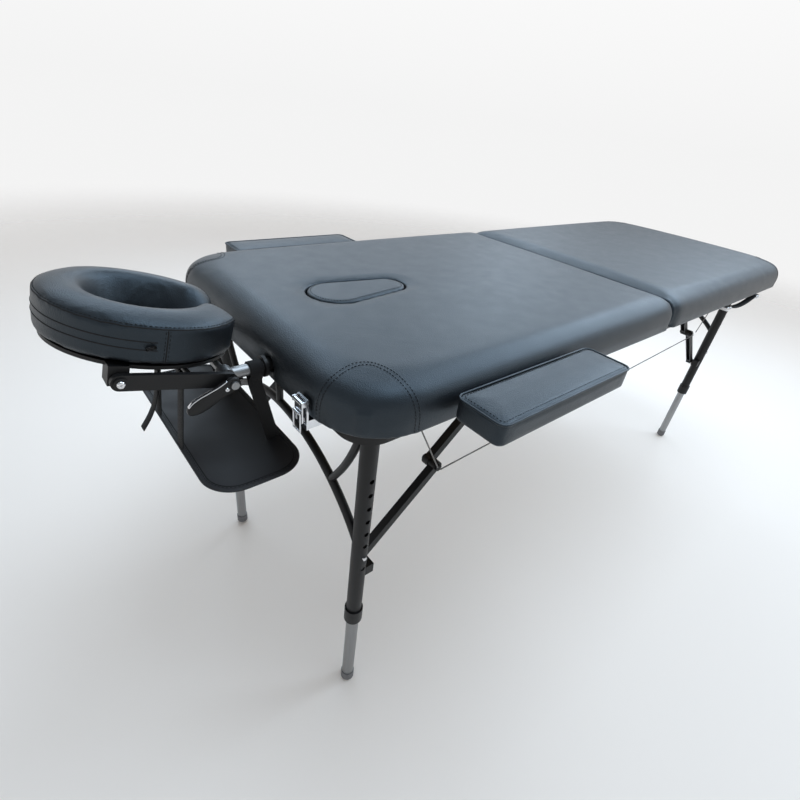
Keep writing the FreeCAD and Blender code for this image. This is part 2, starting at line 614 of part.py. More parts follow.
def leg_tubes(end):
    """The two outer leg tubes with their rows of height holes."""
    side, tubes, solids = ENDS[end], [], []
    for place_name, sign in SIDES.items():
        name, y = f"{end}_tube_{place_name}", f"{sign} * {LEG_Y[end]}"
        x = f"{side} * leg_x"
        height = "pivot_z + leg_top - tube_low"
        skin = rod(name + "_skin", "leg_radius", height, (x, y, "tube_low"))
        bore = rod(name + "_bore", "tube_bore", f"{height} - tube_cap", (x, y, "tube_low - cut_past"))
        holes = []
        outer_y = f"{y} + {sign} * leg_radius"
        for number in range(HEIGHT_HOLES):
            hole_z = f"hole_first + {number} * hole_pitch"
            holes.append(rod_y(f"{name}_hole_{number}", "hole_radius", x, hole_z,
                               f"{outer_y} - hole_cut", f"{outer_y} + hole_cut"))
        tubes.append(cut(name, skin, bore, *holes))
        solids.append(skin)
    node(f"{end}_leg_tubes", *tubes)
    return solids


def leg_collars(end):
    """Plastic collars that guide the inner legs at the tubes' lower ends."""
    collars = []
    for place_name, sign in SIDES.items():
        name, y = f"{end}_collar_{place_name}", f"{sign} * {LEG_Y[end]}"
        x = f"{ENDS[end]} * leg_x"
        ring = rod(name + "_ring", "collar_radius", "collar_high - collar_low", (x, y, "collar_low"))
        seat = rod(name + "_seat", "leg_radius", "collar_high - tube_low + cut_past", (x, y, "tube_low"))
        guide_height = "tube_low - collar_low + 2 * cut_past"
        guide = rod(name + "_guide", "tube_bore", guide_height, (x, y, "collar_low - cut_past"))
        collars.append(cut(name, ring, seat, guide))
    node(f"{end}_leg_collars", *collars)


def arc_tube(name, radius, tube, sweep, x, y, z, turn):
    """A bent tube in a plane across the table, starting at an angle from +Y and rising."""
    bend = bind(new("Part::Torus", name), Radius1=radius, Radius2=tube, Angle3=sweep)
    point = f"vector({spell(f'hinge_x + {x}')}; {spell(y)}; {spell(z)})"
    across = "rotation(vector(0; 0; 1); 90) * rotation(vector(1; 0; 0); 90)"
    stand = f"{across} * rotation(vector(0; 0; 1); {spell(turn)})"
    bend.setExpression("Placement", f"placement({point}; {stand})")
    return bend


def leg_bracing(end, tubes):
    """Pivot bar, arch, centre post, corner gussets and stay lugs between a pair of legs."""
    side, leg_y = ENDS[end], LEG_Y[end]
    leg_x = f"{side} * leg_x"
    plane = f"{side} * (leg_x + brace_offset)"
    bar_skin = rod_y(f"{end}_bar_skin", "pivot_bar", leg_x, "pivot_z", f"-({leg_y})", leg_y)
    arch_half = f"asin(({leg_y}) / arch_radius)"
    arch_skin = arc_tube(f"{end}_arch_skin", "arch_radius", "arch_tube", f"2 * {arch_half}", plane, "0",
                         "arch_apex - arch_radius", f"90 deg - {arch_half}")
    bar = cut(f"{end}_pivot_bar", bar_skin, *tubes)
    arch = cut(f"{end}_arch", arch_skin, *tubes)
    post_skin = rod(f"{end}_post_skin", "gusset_tube", "pivot_z - arch_apex", (plane, "0", "arch_apex"))
    post = cut(f"{end}_post", post_skin, bar_skin, arch_skin)
    pieces = [bar, arch, post]
    start_y = f"({leg_y} - gusset_reach)"
    drop_y, drop_z = "gusset_radius * cos(gusset_start * 1 deg)", "gusset_radius * sin(gusset_start * 1 deg)"
    centre_z = f"arch_apex - arch_radius + sqrt(arch_radius^2 - {start_y}^2) + {drop_z}"
    for place_name, sign in SIDES.items():
        turn = "-gusset_start" if sign > 0 else "180 + gusset_start - gusset_sweep"
        name = f"{end}_gusset_{place_name}"
        skin = arc_tube(name + "_skin", "gusset_radius", "gusset_tube", "gusset_sweep", plane,
                        f"{sign} * ({start_y} - {drop_y})", centre_z, turn)
        pieces.append(cut(name, skin, bar_skin, arch_skin, *tubes))
        pieces.append(stay_lug(end, place_name, tubes))
    node(f"{end}_leg_bracing", *pieces)


def stay_lug(end, place_name, tubes):
    """A block on the leg with the pin that the lower stay link turns on."""
    side, sign, leg_y = ENDS[end], SIDES[place_name], LEG_Y[end]
    name = f"{end}_lug_{place_name}"
    lug_x = f"{side} * (stay_low_x + lug_shift)"
    block = box(name + "_block", (lug_x, f"{sign} * {leg_y}", "stay_low"),
                ("2 * lug_half", "lug_wide", "2 * lug_half"))
    inner = f"({leg_y} - lower_inset - link_width / 2 - link_side)"
    low, high = (inner, leg_y) if sign > 0 else (f"-({leg_y})", f"-{inner}")
    pin = rod_y(name + "_pin", "stay_pin", f"{side} * stay_low_x", "stay_low", low, high)
    return cut(name, fuse(name + "_solid", block, pin), *tubes)


def link(name, start, end, y, bores):
    """A channel-shaped stay link between two points, with rounded eyes and open on its lower side."""
    run, rise = f"(({end[0]}) - ({start[0]}))", f"(({end[1]}) - ({start[1]}))"
    length = f"sqrt({run}^2 + {rise}^2)"
    lean = (0, 1, 0, f"-atan2({rise}; {run})")
    low, high = f"{y} - link_width / 2", f"{y} + link_width / 2"
    parts = [rod_y(f"{name}_eye_{number}", "link_eye", *point, low, high)
             for number, point in enumerate((start, end))]
    bar = bind(new("Part::Box", name + "_bar"), Length=length, Width="link_width", Height="link_depth")
    hollow = bind(new("Part::Box", name + "_hollow"), Length=f"{length} - 3 * link_eye",
                  Width="link_width - 2 * link_wall", Height="link_depth")
    offset_down = f"({rise} / {length} * link_depth / 2)"
    offset_side = f"({run} / {length} * link_depth / 2)"
    place(bar, f"{start[0]} + {offset_down}", low, f"{start[1]} - {offset_side}", lean)
    step = f"(1.5 * link_eye / {length})"
    hollow_x = f"{start[0]} + {run} * {step} + {offset_down} * (1 + 2 * link_wall / link_depth)"
    hollow_z = f"{start[1]} + {rise} * {step} - {offset_side} * (1 + 2 * link_wall / link_depth)"
    place(hollow, hollow_x, f"{low} + link_wall", hollow_z, lean)
    pins = [rod_y(f"{name}_bore_{number}", "stay_pin + pin_clearance", *point,
                  f"{low} - cut_past", f"{high} + cut_past")
            for number, point in enumerate(bores)]
    return cut(name, fuse(name + "_solid", bar, *parts), hollow, *pins)


def knee_bolt(name, x, z, y, outward):
    """Half of the knee bolt: a round head on the outer face of one link."""
    face = f"({y} + {outward} * link_width / 2)"
    reach = f"({face} + {outward} * bolt_height)"
    low, high = (face, reach) if outward > 0 else (reach, face)
    return rod_y(name, "bolt_head", x, z, low, high)


def stay_links(end):
    """Upper links with their crossbar, and lower links, of one folding stay."""
    side, leg_y = ENDS[end], LEG_Y[end]
    top = (f"{side} * stay_top_x", "stay_top_z")
    knee = (f"{side} * knee_x", "knee_z")
    low = (f"{side} * stay_low_x", "stay_low")
    # every link is drawn from its end nearer the head, so that its open side faces down
    order = (lambda a, b: (b, a)) if end == "head" else (lambda a, b: (a, b))
    upper, lower = [], []
    for place_name, sign in SIDES.items():
        upper_y, lower_y = f"{sign} * ({leg_y} - upper_inset)", f"{sign} * ({leg_y} - lower_inset)"
        upper.append(link(f"{end}_upper_{place_name}", *order(top, knee), upper_y, [top]))
        lower.append(link(f"{end}_lower_{place_name}", *order(knee, low), lower_y, [low]))
        upper.append(knee_bolt(f"{end}_nut_{place_name}", *knee, upper_y, -sign))
        lower.append(knee_bolt(f"{end}_bolt_{place_name}", *knee, lower_y, sign))
    reach = f"({leg_y} - upper_inset - link_width / 2)"
    share = "crossbar_share"
    bar_x = f"{top[0]} + ({knee[0]} - {top[0]}) * {share}"
    bar_z = f"{top[1]} + ({knee[1]} - {top[1]}) * {share}"
    upper.append(rod_y(f"{end}_crossbar", "crossbar_radius", bar_x, bar_z, f"-{reach}", reach))
    node(f"{end}_upper_links", *upper)
    node(f"{end}_lower_links", *lower)


def cables(end):
    """Half of each taut side cable, and the short cables from the knees up to the frame."""
    side, leg_y = ENDS[end], LEG_Y[end]
    runs = []
    for place_name, sign in SIDES.items():
        name = f"{end}_cable_{place_name}"
        knee_y = f"({leg_y} - leg_radius + cable_stand)"
        middle_y = "(head_leg_y - leg_step / 2 - leg_radius + cable_stand)"
        slope = f"{sign} * {side} * ({knee_y} - {middle_y})"
        start_x = "-knee_x" if side < 0 else "seam_gap"
        start_y = f"{sign} * {knee_y if side < 0 else middle_y}"
        length = "knee_x - seam_gap"
        along = bind(new("Part::Cylinder", name), Radius="cable_radius",
                     Height=f"sqrt(({length})^2 + leg_step^2 / 4)")
        point = f"vector({spell(f'hinge_x + {start_x}')}; {spell(start_y)}; {spell('knee_z')})"
        veer = f"rotation(vector(0; 0; 1); atan2({spell(slope)}; {spell(length)}))"
        along.setExpression("Placement", f"placement({point}; {veer} * rotation(vector(0; 1; 0); 90))")
        runs.append(along)
        knee = (f"{side} * (knee_x + cable_off)", "knee_z + cable_off")
        top = (f"{side} * cable_top_x", "cable_top_z")
        runs.append(rod_xz(name + "_short", "cable_radius", knee, top, f"{sign} * {knee_y}"))
    node(f"{end}_cables", *runs)


def inner_leg(end, place_name):
    """One sliding inner leg, its rubber tip and its snap button."""
    side, sign = ENDS[end], SIDES[place_name]
    x, y = f"{side} * leg_x", f"{sign} * {LEG_Y[end]}"
    name = f"{end}_{place_name}"
    top = "button_z + inner_top"
    skin = rod(name + "_inner_skin", "inner_radius", f"{top} - tip_height", (x, y, "tip_height"))
    floor = (x, y, "tip_height + inner_floor")
    bore = rod(name + "_inner_bore", "inner_radius - inner_wall", f"{top} - tip_height", floor)
    face = f"{y} + {sign} * inner_radius"
    hole = rod_y(name + "_inner_hole", "button_radius + button_gap", x, "button_z",
                 f"{face} - button_root", f"{face} + button_root")
    node(f"{name}_inner_leg", cut(name + "_inner_shape", skin, bore, hole))
    stem = rod(name + "_tip_stem", "tip_radius", "tip_height - tip_edge", (x, y, "tip_edge"))
    toe = bind(new("Part::Cone", name + "_tip_toe"), Radius1="tip_radius - tip_edge", Radius2="tip_radius",
               Height="tip_edge")
    place(toe, x, y, "0")
    node(f"{name}_foot_tip", fuse(name + "_tip", stem, toe))
    outer_y = f"{y} + {sign} * (leg_radius + button_stand)"
    inner_y = f"{y} + {sign} * (inner_radius - button_root)"
    low, high = (inner_y, outer_y) if sign > 0 else (outer_y, inner_y)
    node(f"{name}_button", rod_y(name + "_button_pin", "button_radius", x, "button_z", low, high))


def cradle_sockets():
    """Lined sockets for the cradle's dowels, with flanges on the end face."""
    bushes = []
    for place_name, sign in SIDES.items():
        name, y = f"socket_{place_name}", f"{sign} * dowel_y"
        face = "-(pad_length + flange_thick)"
        length = "pad_length + flange_thick - dowel_inner"
        lining = rod(name + "_lining", "bush_radius", length, (face, y, "dowel_z"), PLUS_X)
        flange = rod(name + "_flange", "flange_radius", "flange_thick", (face, y, "dowel_z"), PLUS_X)
        mouth = (f"{face} - cut_past", y, "dowel_z")
        bore = rod(name + "_bore", "dowel_radius + dowel_gap", "pad_length", mouth, PLUS_X)
        bushes.append(cut(name, fuse(name + "_solid", lining, flange), bore))
    node("cradle_sockets", *bushes)


def cradle_base():
    """Two dowels, the eyes at their ends and the cross shaft."""
    pieces = []
    shaft = rod_y("cradle_shaft", "shaft_radius", "-shaft_x", "dowel_z", "-(arm_y + arm_thick + shaft_near)",
                  "arm_y + arm_thick + shaft_far")
    for place_name, sign in SIDES.items():
        name, y = f"dowel_{place_name}", f"{sign} * dowel_y"
        pieces.append(rod(name, "dowel_radius", "shaft_x - dowel_inner", ("-shaft_x", y, "dowel_z"), PLUS_X))
        pieces.append(rod_y(name + "_eye", "dowel_radius + eye_wall", "-shaft_x", "dowel_z",
                            f"{y} - dowel_radius", f"{y} + dowel_radius"))
    node("cradle_base", fuse("cradle_base_shape", shaft, *pieces))


def arm_point(share):
    """A point of the arm's middle line: 0 at the shaft, 1 at the front rivet."""
    return f"-(shaft_x + arm_run * {share})", f"dowel_z + arm_rise * {share}"


def cradle_arms():
    """Two flat arms on the shaft, the sling rod between them and the front rivets."""
    shaft, rivet = arm_point("0"), arm_point("1")
    pieces = []
    for place_name, sign in SIDES.items():
        name, y = f"arm_{place_name}", f"{sign} * arm_y"
        low, high = f"{y} - arm_thick / 2", f"{y} + arm_thick / 2"
        eyes = [rod_y(f"{name}_eye_{number}", "arm_depth / 2", *point, low, high)
                for number, point in enumerate((shaft, rivet))]
        bar = bind(new("Part::Box", name + "_bar"), Length="arm_span", Width="arm_thick", Height="arm_depth")
        place(bar, f"{rivet[0]} - arm_sin * arm_depth / 2", low, f"{rivet[1]} - arm_cos * arm_depth / 2",
              (0, 1, 0, "asin(arm_sin)"))
        through = (f"{low} - cut_past", f"{high} + cut_past")
        bore = rod_y(name + "_bore", "shaft_radius + pin_clearance", *shaft, *through)
        inner = f"{sign} * (arm_y - arm_thick / 2 - rivet_in)"
        outer = f"{sign} * (arm_y + arm_thick / 2 + rivet_out)"
        ends = (inner, outer) if sign > 0 else (outer, inner)
        rivet_pin = rod_y(name + "_rivet", "rivet_radius", *rivet, *ends)
        face = f"{sign} * (arm_y + arm_thick / 2)"
        head_ends = (face, outer) if sign > 0 else (outer, face)
        head = rod_y(name + "_rivet_head", "rivet_head", *rivet, *head_ends)
        pieces.append(cut(name, fuse(name + "_solid", *eyes, bar, rivet_pin, head), bore))
    reach = "(arm_y - arm_thick / 2)"
    rod_at = arm_point("sling_rod_share")
    pieces.append(rod_y("sling_rod_bar", "sling_rod", *rod_at, f"-{reach}", reach))
    node("cradle_arms", *pieces)


def cradle_lever():
    """The cam lever on the near end of the shaft."""
    high = "-(arm_y + arm_thick + lever_gap)"
    low = f"{high} - lever_thick"
    run, drop = "lever_length * cos(lever_angle * 1 deg)", "lever_length * sin(lever_angle * 1 deg)"
    tip = (f"-(shaft_x + {run})", f"dowel_z - {drop}")
    eyes = [rod_y(f"lever_eye_{number}", "lever_width / 2", *point, low, high)
            for number, point in enumerate((("-shaft_x", "dowel_z"), tip))]
    blade = new("Part::Box", "lever_blade")
    bind(blade, Length="lever_length", Width="lever_thick", Height="lever_width")
    place(blade, f"{tip[0]} + sin(lever_angle * 1 deg) * lever_width / 2", low,
          f"{tip[1]} - cos(lever_angle * 1 deg) * lever_width / 2", (0, 1, 0, "-lever_angle"))
    bore = rod_y("lever_bore", "shaft_radius + pin_clearance", "-shaft_x", "dowel_z",
                 f"{low} - cut_past", f"{high} + cut_past")
    node("cradle_lever", cut("lever_shape", fuse("lever_solid", *eyes, blade), bore))


def sector(name, radius, height, spread):
    return bind(new("Part::Cylinder", name), Radius=radius, Height=height, Angle=spread)


def at_cradle(thing, along, y, rise, turn="0"):
    """Put a thing in the cradle's tilted frame: along from the front rivets, and up from the arms."""
    x = f"hinge_x - rivet_x + ({along}) * arm_cos + ({rise}) * arm_sin"
    z = f"rivet_z - ({along}) * arm_sin + ({rise}) * arm_cos"
    tilt = f"rotation(vector(0; 1; 0); {spell('asin(arm_sin)')}) * rotation(vector(0; 0; 1); {spell(turn)})"
    thing.setExpression("Placement", f"placement(vector({spell(x)}; {spell(y)}; {spell(z)}); {tilt})")
    return thing


def horseshoe(name, half, rise, height):
    """A ring open towards the table: half a circle, two tighter lobes and round tips."""
    centre = "(ring_radius + ring_half - cushion_ahead)"
    pieces = []

    def ring_part(part, radius, spread, y, turn):
        outer = sector(f"{name}_{part}_outer", f"{radius} + ({half})", height, spread)
        inner = sector(f"{name}_{part}_inner", f"{radius} - ({half})", height, spread)
        for thing in (outer, inner):
            at_cradle(thing, centre, y, rise, turn)
        return cut(f"{name}_{part}", outer, inner)

    pieces.append(ring_part("back", "ring_radius", "180", "0", "90"))
    for place_name, sign in SIDES.items():
        lobe_y = f"{sign} * (ring_radius - lobe_radius)"
        turn = "lobe_end" if sign > 0 else "-90"
        pieces.append(ring_part(f"lobe_{place_name}", "lobe_radius", "90 - lobe_end", lobe_y, turn))
        tip = bind(new("Part::Cylinder", f"{name}_tip_{place_name}"), Radius=half, Height=height)
        along = f"{centre} + lobe_radius * cos(lobe_end * 1 deg)"
        across = f"{sign} * (ring_radius - lobe_radius + lobe_radius * sin(lobe_end * 1 deg))"
        pieces.append(at_cradle(tip, along, across, rise))
    return fuse(name, *pieces)


def cradle_platform():
    """The carrier under the face cushion, with lugs that turn on the rivets."""
    plate = horseshoe("platform_ring", "ring_half - platform_inset / 2", "platform_rise", "platform_thick")
    pieces = [plate]
    bores = []
    for place_name, sign in SIDES.items():
        y = f"{sign} * (arm_y - arm_thick / 2 - lug_in)"
        name = f"platform_lug_{place_name}"
        block = bind(new("Part::Box", name), Length="platform_lug", Width="lug_thick",
                     Height="platform_rise + platform_thick + lug_drop")
        pieces.append(at_cradle(block, "-platform_lug / 2", f"{y} - lug_thick / 2", "-lug_drop"))
        bores.append(rod_y(name + "_bore", "rivet_radius + pin_clearance", *arm_point("1"),
                           f"{y} - lug_thick", f"{y} + lug_thick"))
    node("cradle_platform", cut("platform_shape", fuse("platform_solid", *pieces), *bores))


def face_cushion():
    """The horseshoe cushion, its upper edges fully rounded and its lower edges eased."""
    ring = horseshoe("cushion_ring", "ring_half", "cushion_low", "cushion_thick")
    doc.recompute()
    tilt = doc.cushion_ring_tip_far.Placement.Rotation.multVec(FreeCAD.Vector(0, 0, 1))
    edges = ring.Shape.Edges
    levels = [edge.CenterOfMass.dot(tilt) for edge in edges]
    top, low = max(levels), min(levels)
    rounded = new("Part::Fillet", "cushion_form")
    rounded.Base = ring
    picked = []
    for number, level in enumerate(levels, 1):
        if abs(level - top) < 0.01:
            picked.append((number, SIZES["cushion_top_edge"], SIZES["cushion_top_edge"]))
        if abs(level - low) < 0.01:
            picked.append((number, SIZES["cushion_low_edge"], SIZES["cushion_low_edge"]))
    rounded.Edges = picked
    node("face_cushion", rounded)


def sling():
    """The arm sling: a stiff padded panel, two looped straps behind and two in front."""
    panel = plan_block("sling_panel_block", ("sling_width", "sling_length", "sling_thick"), "sling_corner")
    place(panel, "-sling_x", "0", "sling_z - sling_thick / 2")
    node("sling_panel", panel)
    rear, front = [], []
    rod_x, rod_z = arm_point("sling_rod_share")
    for place_name, sign in SIDES.items():
        name, y = f"rear_strap_{place_name}", f"{sign} * dowel_y"
        loop_x = "-(rear_strap_x + rear_strap / 2)"
        inner = "dowel_radius + strap_gap"
        skin = rod(name + "_skin", f"{inner} + strap_thick", "rear_strap", (loop_x, y, "dowel_z"), PLUS_X)
        bore = rod(name + "_bore", inner, "rear_strap + 2 * cut_past",
                   (f"{loop_x} - cut_past", y, "dowel_z"), PLUS_X)
        drop = box(name + "_drop", ("-rear_strap_x", y, f"(sling_top + dowel_z - ({inner})) / 2"),
                   ("rear_strap", "strap_thick", f"dowel_z - ({inner}) - sling_top"))
        rear.append(fuse(name, cut(name + "_loop", skin, bore), drop))
        name, y = f"front_strap_{place_name}", f"{sign} * front_strap_y"
        ends = (f"{y} - front_strap / 2", f"{y} + front_strap / 2")
        inner = "sling_rod + strap_gap"
        skin = rod_y(name + "_skin", f"{inner} + strap_thick", rod_x, rod_z, *ends)
        bore = rod_y(name + "_bore", inner, rod_x, rod_z, f"{ends[0]} - cut_past", f"{ends[1]} + cut_past")
        drop = box(name + "_drop", (rod_x, y, f"(sling_top + {rod_z} - ({inner})) / 2"),
                   ("strap_thick", "front_strap", f"{rod_z} - ({inner}) - sling_top"))
        front.append(fuse(name, cut(name + "_loop", skin, bore), drop))
    node("sling_rear_straps", *rear)
    node("sling_front_straps", *front)


def arm_rest(place_name):
    """One arm rest: a padded top on a board with two rods that plug into the rail."""
    sign = SIDES[place_name]
    size = ("rest_length", "rest_width", "rest_top - rest_low - rest_board")
    cushion = crowned_block(f"rest_{place_name}_pad", size, "rest_crown", "rest_corner")
    round_level(cushion, "rest_edge", 1)
    place(cushion, "-rest_x - rest_length / 2", f"{sign} * rest_y", "rest_low + rest_board")
    node(f"armrest_{place_name}_cushion", cushion)
    plan = ("rest_length - 2 * board_inset", "rest_width - 2 * board_inset", "rest_board")
    board = plan_block(f"rest_{place_name}_board", plan, "rest_corner - board_inset")
    round_level(board, "board_edge", -1)
    place(board, "-rest_x", f"{sign} * rest_y", "rest_low")
    rods = []
    for number, along in enumerate(("-rest_rod_x", "rest_rod_x")):
        outer = "half_width + rest_gap + rest_rod_root"
        ends = ("rest_rod_inner", outer) if sign > 0 else (f"-({outer})", "-rest_rod_inner")
        rod_x = f"-rest_x + ({along})"
        rods.append(rod_y(f"rest_{place_name}_rod_{number}", "rest_rod", rod_x, "rest_rod_z", *ends))
    node(f"armrest_{place_name}_base", fuse(f"rest_{place_name}_base", board, *rods))


for end_name in ENDS:
    section_pad(end_name)
    section_frame(end_name)
    hinge_leaves(end_name)
    section_brackets(end_name)
    carry_handle(end_name)
    skins = leg_tubes(end_name)
    leg_collars(end_name)
    leg_bracing(end_name, skins)
    stay_links(end_name)
    cables(end_name)
    for side_name in SIDES:
        inner_leg(end_name, side_name)
plug()
latch_bases()
latch_strikes()
for side_name in SIDES:
    latch_moving(side_name)
    arm_rest(side_name)
cradle_sockets()
cradle_base()
cradle_arms()
cradle_lever()
cradle_platform()
face_cushion()
sling()

doc.recompute()
for thing in doc.Objects:
    if "Invalid" in thing.State or "Error" in thing.State:
        raise RuntimeError(f"{thing.Label} did not build: {thing.State}")
os.makedirs("parts", exist_ok=True)
for label, whole in NODES.items():
    if whole.Shape.isNull() or not whole.Shape.isValid():
        raise RuntimeError(f"{label} has no valid shape")
    whole.Shape.exportStep(f"parts/{label}.step")
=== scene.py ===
import json
import math
import bpy
from mathutils import Matrix, Vector
from mathutils.bvhtree import BVHTree


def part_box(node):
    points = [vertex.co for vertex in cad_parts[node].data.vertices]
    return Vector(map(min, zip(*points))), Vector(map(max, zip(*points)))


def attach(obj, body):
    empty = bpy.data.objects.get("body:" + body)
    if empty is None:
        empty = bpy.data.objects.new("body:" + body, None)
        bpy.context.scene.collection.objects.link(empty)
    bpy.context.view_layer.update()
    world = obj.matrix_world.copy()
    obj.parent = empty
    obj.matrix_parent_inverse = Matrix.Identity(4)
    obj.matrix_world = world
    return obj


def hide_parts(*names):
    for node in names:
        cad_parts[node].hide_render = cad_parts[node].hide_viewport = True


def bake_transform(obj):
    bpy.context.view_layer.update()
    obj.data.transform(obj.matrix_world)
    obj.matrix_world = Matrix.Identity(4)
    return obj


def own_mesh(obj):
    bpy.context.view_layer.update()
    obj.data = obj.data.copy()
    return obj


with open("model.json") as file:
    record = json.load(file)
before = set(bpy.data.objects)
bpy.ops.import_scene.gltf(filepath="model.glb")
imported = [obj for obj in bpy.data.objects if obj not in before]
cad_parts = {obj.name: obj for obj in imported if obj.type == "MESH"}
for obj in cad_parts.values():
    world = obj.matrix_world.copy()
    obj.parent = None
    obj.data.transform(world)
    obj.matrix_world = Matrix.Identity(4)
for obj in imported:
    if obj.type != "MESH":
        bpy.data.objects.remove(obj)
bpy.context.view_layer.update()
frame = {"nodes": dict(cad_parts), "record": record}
scene = bpy.context.scene

# Places shared by several pieces, in metres; X is counted from the centre hinge
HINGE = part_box("head_pad")[1][0] + 0.0005
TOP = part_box("head_pad")[1][2]
PAD_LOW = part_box("head_pad")[0][2]
DOWEL_Y, DOWEL_Z = 0.105, 0.7315
SHAFT_X, RIVET_X, RIVET_Z = -0.992, -1.129, 0.765
ARM_TILT = math.atan2(RIVET_Z - DOWEL_Z, SHAFT_X - RIVET_X)
SLING_X, SLING_Z, SLING_WIDE, SLING_LONG, SLING_CORNER = -0.981, 0.590, 0.160, 0.400, 0.052
REST_X, REST_Y, REST_LOW, REST_SIZE = -0.600, 0.402, 0.7301, (0.340, 0.088, 0.0398)
ROD_SHARE = 0.36
ROD_X = SHAFT_X + (RIVET_X - SHAFT_X) * ROD_SHARE
ROD_Z = DOWEL_Z + (RIVET_Z - DOWEL_Z) * ROD_SHARE
SEAM_STEP = 0.0012
SIDES = {"near": -1, "far": 1}
ENDS = {"head": -1, "foot": 1}


def at(x, y, z):
    """A point with X counted from the centre hinge."""
    return Vector((HINGE + x, y, z))


# Materials

def shader(name, color, roughness, metallic=0.0, **constants):
    """A new material, its node tree and its main shader with the constant values set."""
    material = bpy.data.materials.new(name)
    material.use_nodes = True
    tree = material.node_tree
    main = tree.nodes["Principled BSDF"]
    main.inputs["Base Color"].default_value = (*color, 1)
    main.inputs["Roughness"].default_value = roughness
    main.inputs["Metallic"].default_value = metallic
    for socket, value in constants.items():
        main.inputs[socket.replace("_", " ")].default_value = value
    return material, tree, main


def texture(tree, kind, stretch=(1, 1, 1), **values):
    """A texture node in the object's own metres, stretched along its axes."""
    place = tree.nodes.new("ShaderNodeTexCoord")
    scale = tree.nodes.new("ShaderNodeMapping")
    scale.inputs["Scale"].default_value = stretch
    tree.links.new(place.outputs["Object"], scale.inputs["Vector"])
    node = tree.nodes.new(kind)
    tree.links.new(scale.outputs["Vector"], node.inputs["Vector"])
    for name, value in values.items():
        node.inputs[name].default_value = value
    return node


def bump(tree, main, height, strength, distance, below=None):
    node = tree.nodes.new("ShaderNodeBump")
    node.inputs["Strength"].default_value = strength
    node.inputs["Distance"].default_value = distance
    tree.links.new(height, node.inputs["Height"])
    if below:
        tree.links.new(below.outputs["Normal"], node.inputs["Normal"])
    tree.links.new(node.outputs["Normal"], main.inputs["Normal"])
    return node


def vary_color(tree, main, factor, dark, light):
    ramp = tree.nodes.new("ShaderNodeValToRGB")
    ramp.color_ramp.elements[0].color = (*dark, 1)
    ramp.color_ramp.elements[0].position = 0.3
    ramp.color_ramp.elements[1].color = (*light, 1)
    ramp.color_ramp.elements[1].position = 0.7
    tree.links.new(factor, ramp.inputs["Fac"])
    tree.links.new(ramp.outputs["Color"], main.inputs["Base Color"])


def vary_roughness(tree, main, factor, low, high):
    span = tree.nodes.new("ShaderNodeMapRange")
    span.inputs["From Min"].default_value = 0.3
    span.inputs["From Max"].default_value = 0.7
    span.inputs["To Min"].default_value = low
    span.inputs["To Max"].default_value = high
    tree.links.new(factor, span.inputs["Value"])
    tree.links.new(span.outputs["Result"], main.inputs["Roughness"])


def shades(color, spread):
    return [tuple(channel * share for channel in color) for share in (1 - spread, 1 + spread)]


def leatherette(name, color, low, high, sky_reflection_tint):
    """Coated upholstery cloth: pebbled grain, fine pores and slightly uneven gloss, with a bluish tint on its
    reflections that paints in the colour of reflected sky light.
    """
    material, tree, main = shader(name, color, low, Specular_IOR_Level=0.60, Specular_Tint=(*sky_reflection_tint, 1))
    cloud = texture(tree, "ShaderNodeTexNoise", Scale=9.0, Detail=4.0)
    vary_color(tree, main, cloud.outputs["Fac"], *shades(color, 0.08))
    wear = texture(tree, "ShaderNodeTexNoise", Scale=30.0, Detail=6.0)
    vary_roughness(tree, main, wear.outputs["Fac"], low, high)
    pebble = texture(tree, "ShaderNodeTexVoronoi", Scale=620.0)
    pore = texture(tree, "ShaderNodeTexNoise", Scale=1800.0, Detail=2.0)
    first = bump(tree, main, pebble.outputs["Distance"], 0.40, 0.0006)
    bump(tree, main, pore.outputs["Fac"], 0.10, 0.0003, first)
    return material


def coated_metal(name, color, low, high):
    """Powder coat: a faint orange peel and slightly uneven gloss."""
    material, tree, main = shader(name, color, low, Specular_IOR_Level=0.32)
    cloud = texture(tree, "ShaderNodeTexNoise", Scale=30.0, Detail=4.0)
    vary_color(tree, main, cloud.outputs["Fac"], *shades(color, 0.2))
    vary_roughness(tree, main, cloud.outputs["Fac"], low, high)
    peel = texture(tree, "ShaderNodeTexNoise", Scale=900.0, Detail=2.0)
    bump(tree, main, peel.outputs["Fac"], 0.12, 0.0003)
    return material


def bare_metal(name, color, low, high, stretch, scale):
    """Drawn or plated metal with faint lines along its length."""
    material, tree, main = shader(name, color, low, 1.0)
    lines = texture(tree, "ShaderNodeTexNoise", stretch, Scale=scale, Detail=3.0)
    vary_color(tree, main, lines.outputs["Fac"], *shades(color, 0.07))
    vary_roughness(tree, main, lines.outputs["Fac"], low, high)
    bump(tree, main, lines.outputs["Fac"], 0.05, 0.0002)
    return material


def moulded(name, color, low, high, grain):
    """Moulded plastic or rubber with a fine spark texture."""
    material, tree, main = shader(name, color, low, Specular_IOR_Level=0.35)
    cloud = texture(tree, "ShaderNodeTexNoise", Scale=25.0, Detail=3.0)
    vary_color(tree, main, cloud.outputs["Fac"], *shades(color, 0.15))
    vary_roughness(tree, main, cloud.outputs["Fac"], low, high)
    spark = texture(tree, "ShaderNodeTexNoise", Scale=grain, Detail=2.0)
    bump(tree, main, spark.outputs["Fac"], 0.18, 0.0003)
    return material


def woven(name, color, pitch):
    """Webbing: ribs of the weft crossed by finer warp lines."""
    material, tree, main = shader(name, color, 0.75, Specular_IOR_Level=0.3)
    weft = texture(tree, "ShaderNodeTexVoronoi", Scale=pitch)
    vary_color(tree, main, weft.outputs["Distance"], *shades(color, 0.35))
    vary_roughness(tree, main, weft.outputs["Distance"], 0.68, 0.85)
    bump(tree, main, weft.outputs["Distance"], 0.5, 0.0006)
    return material


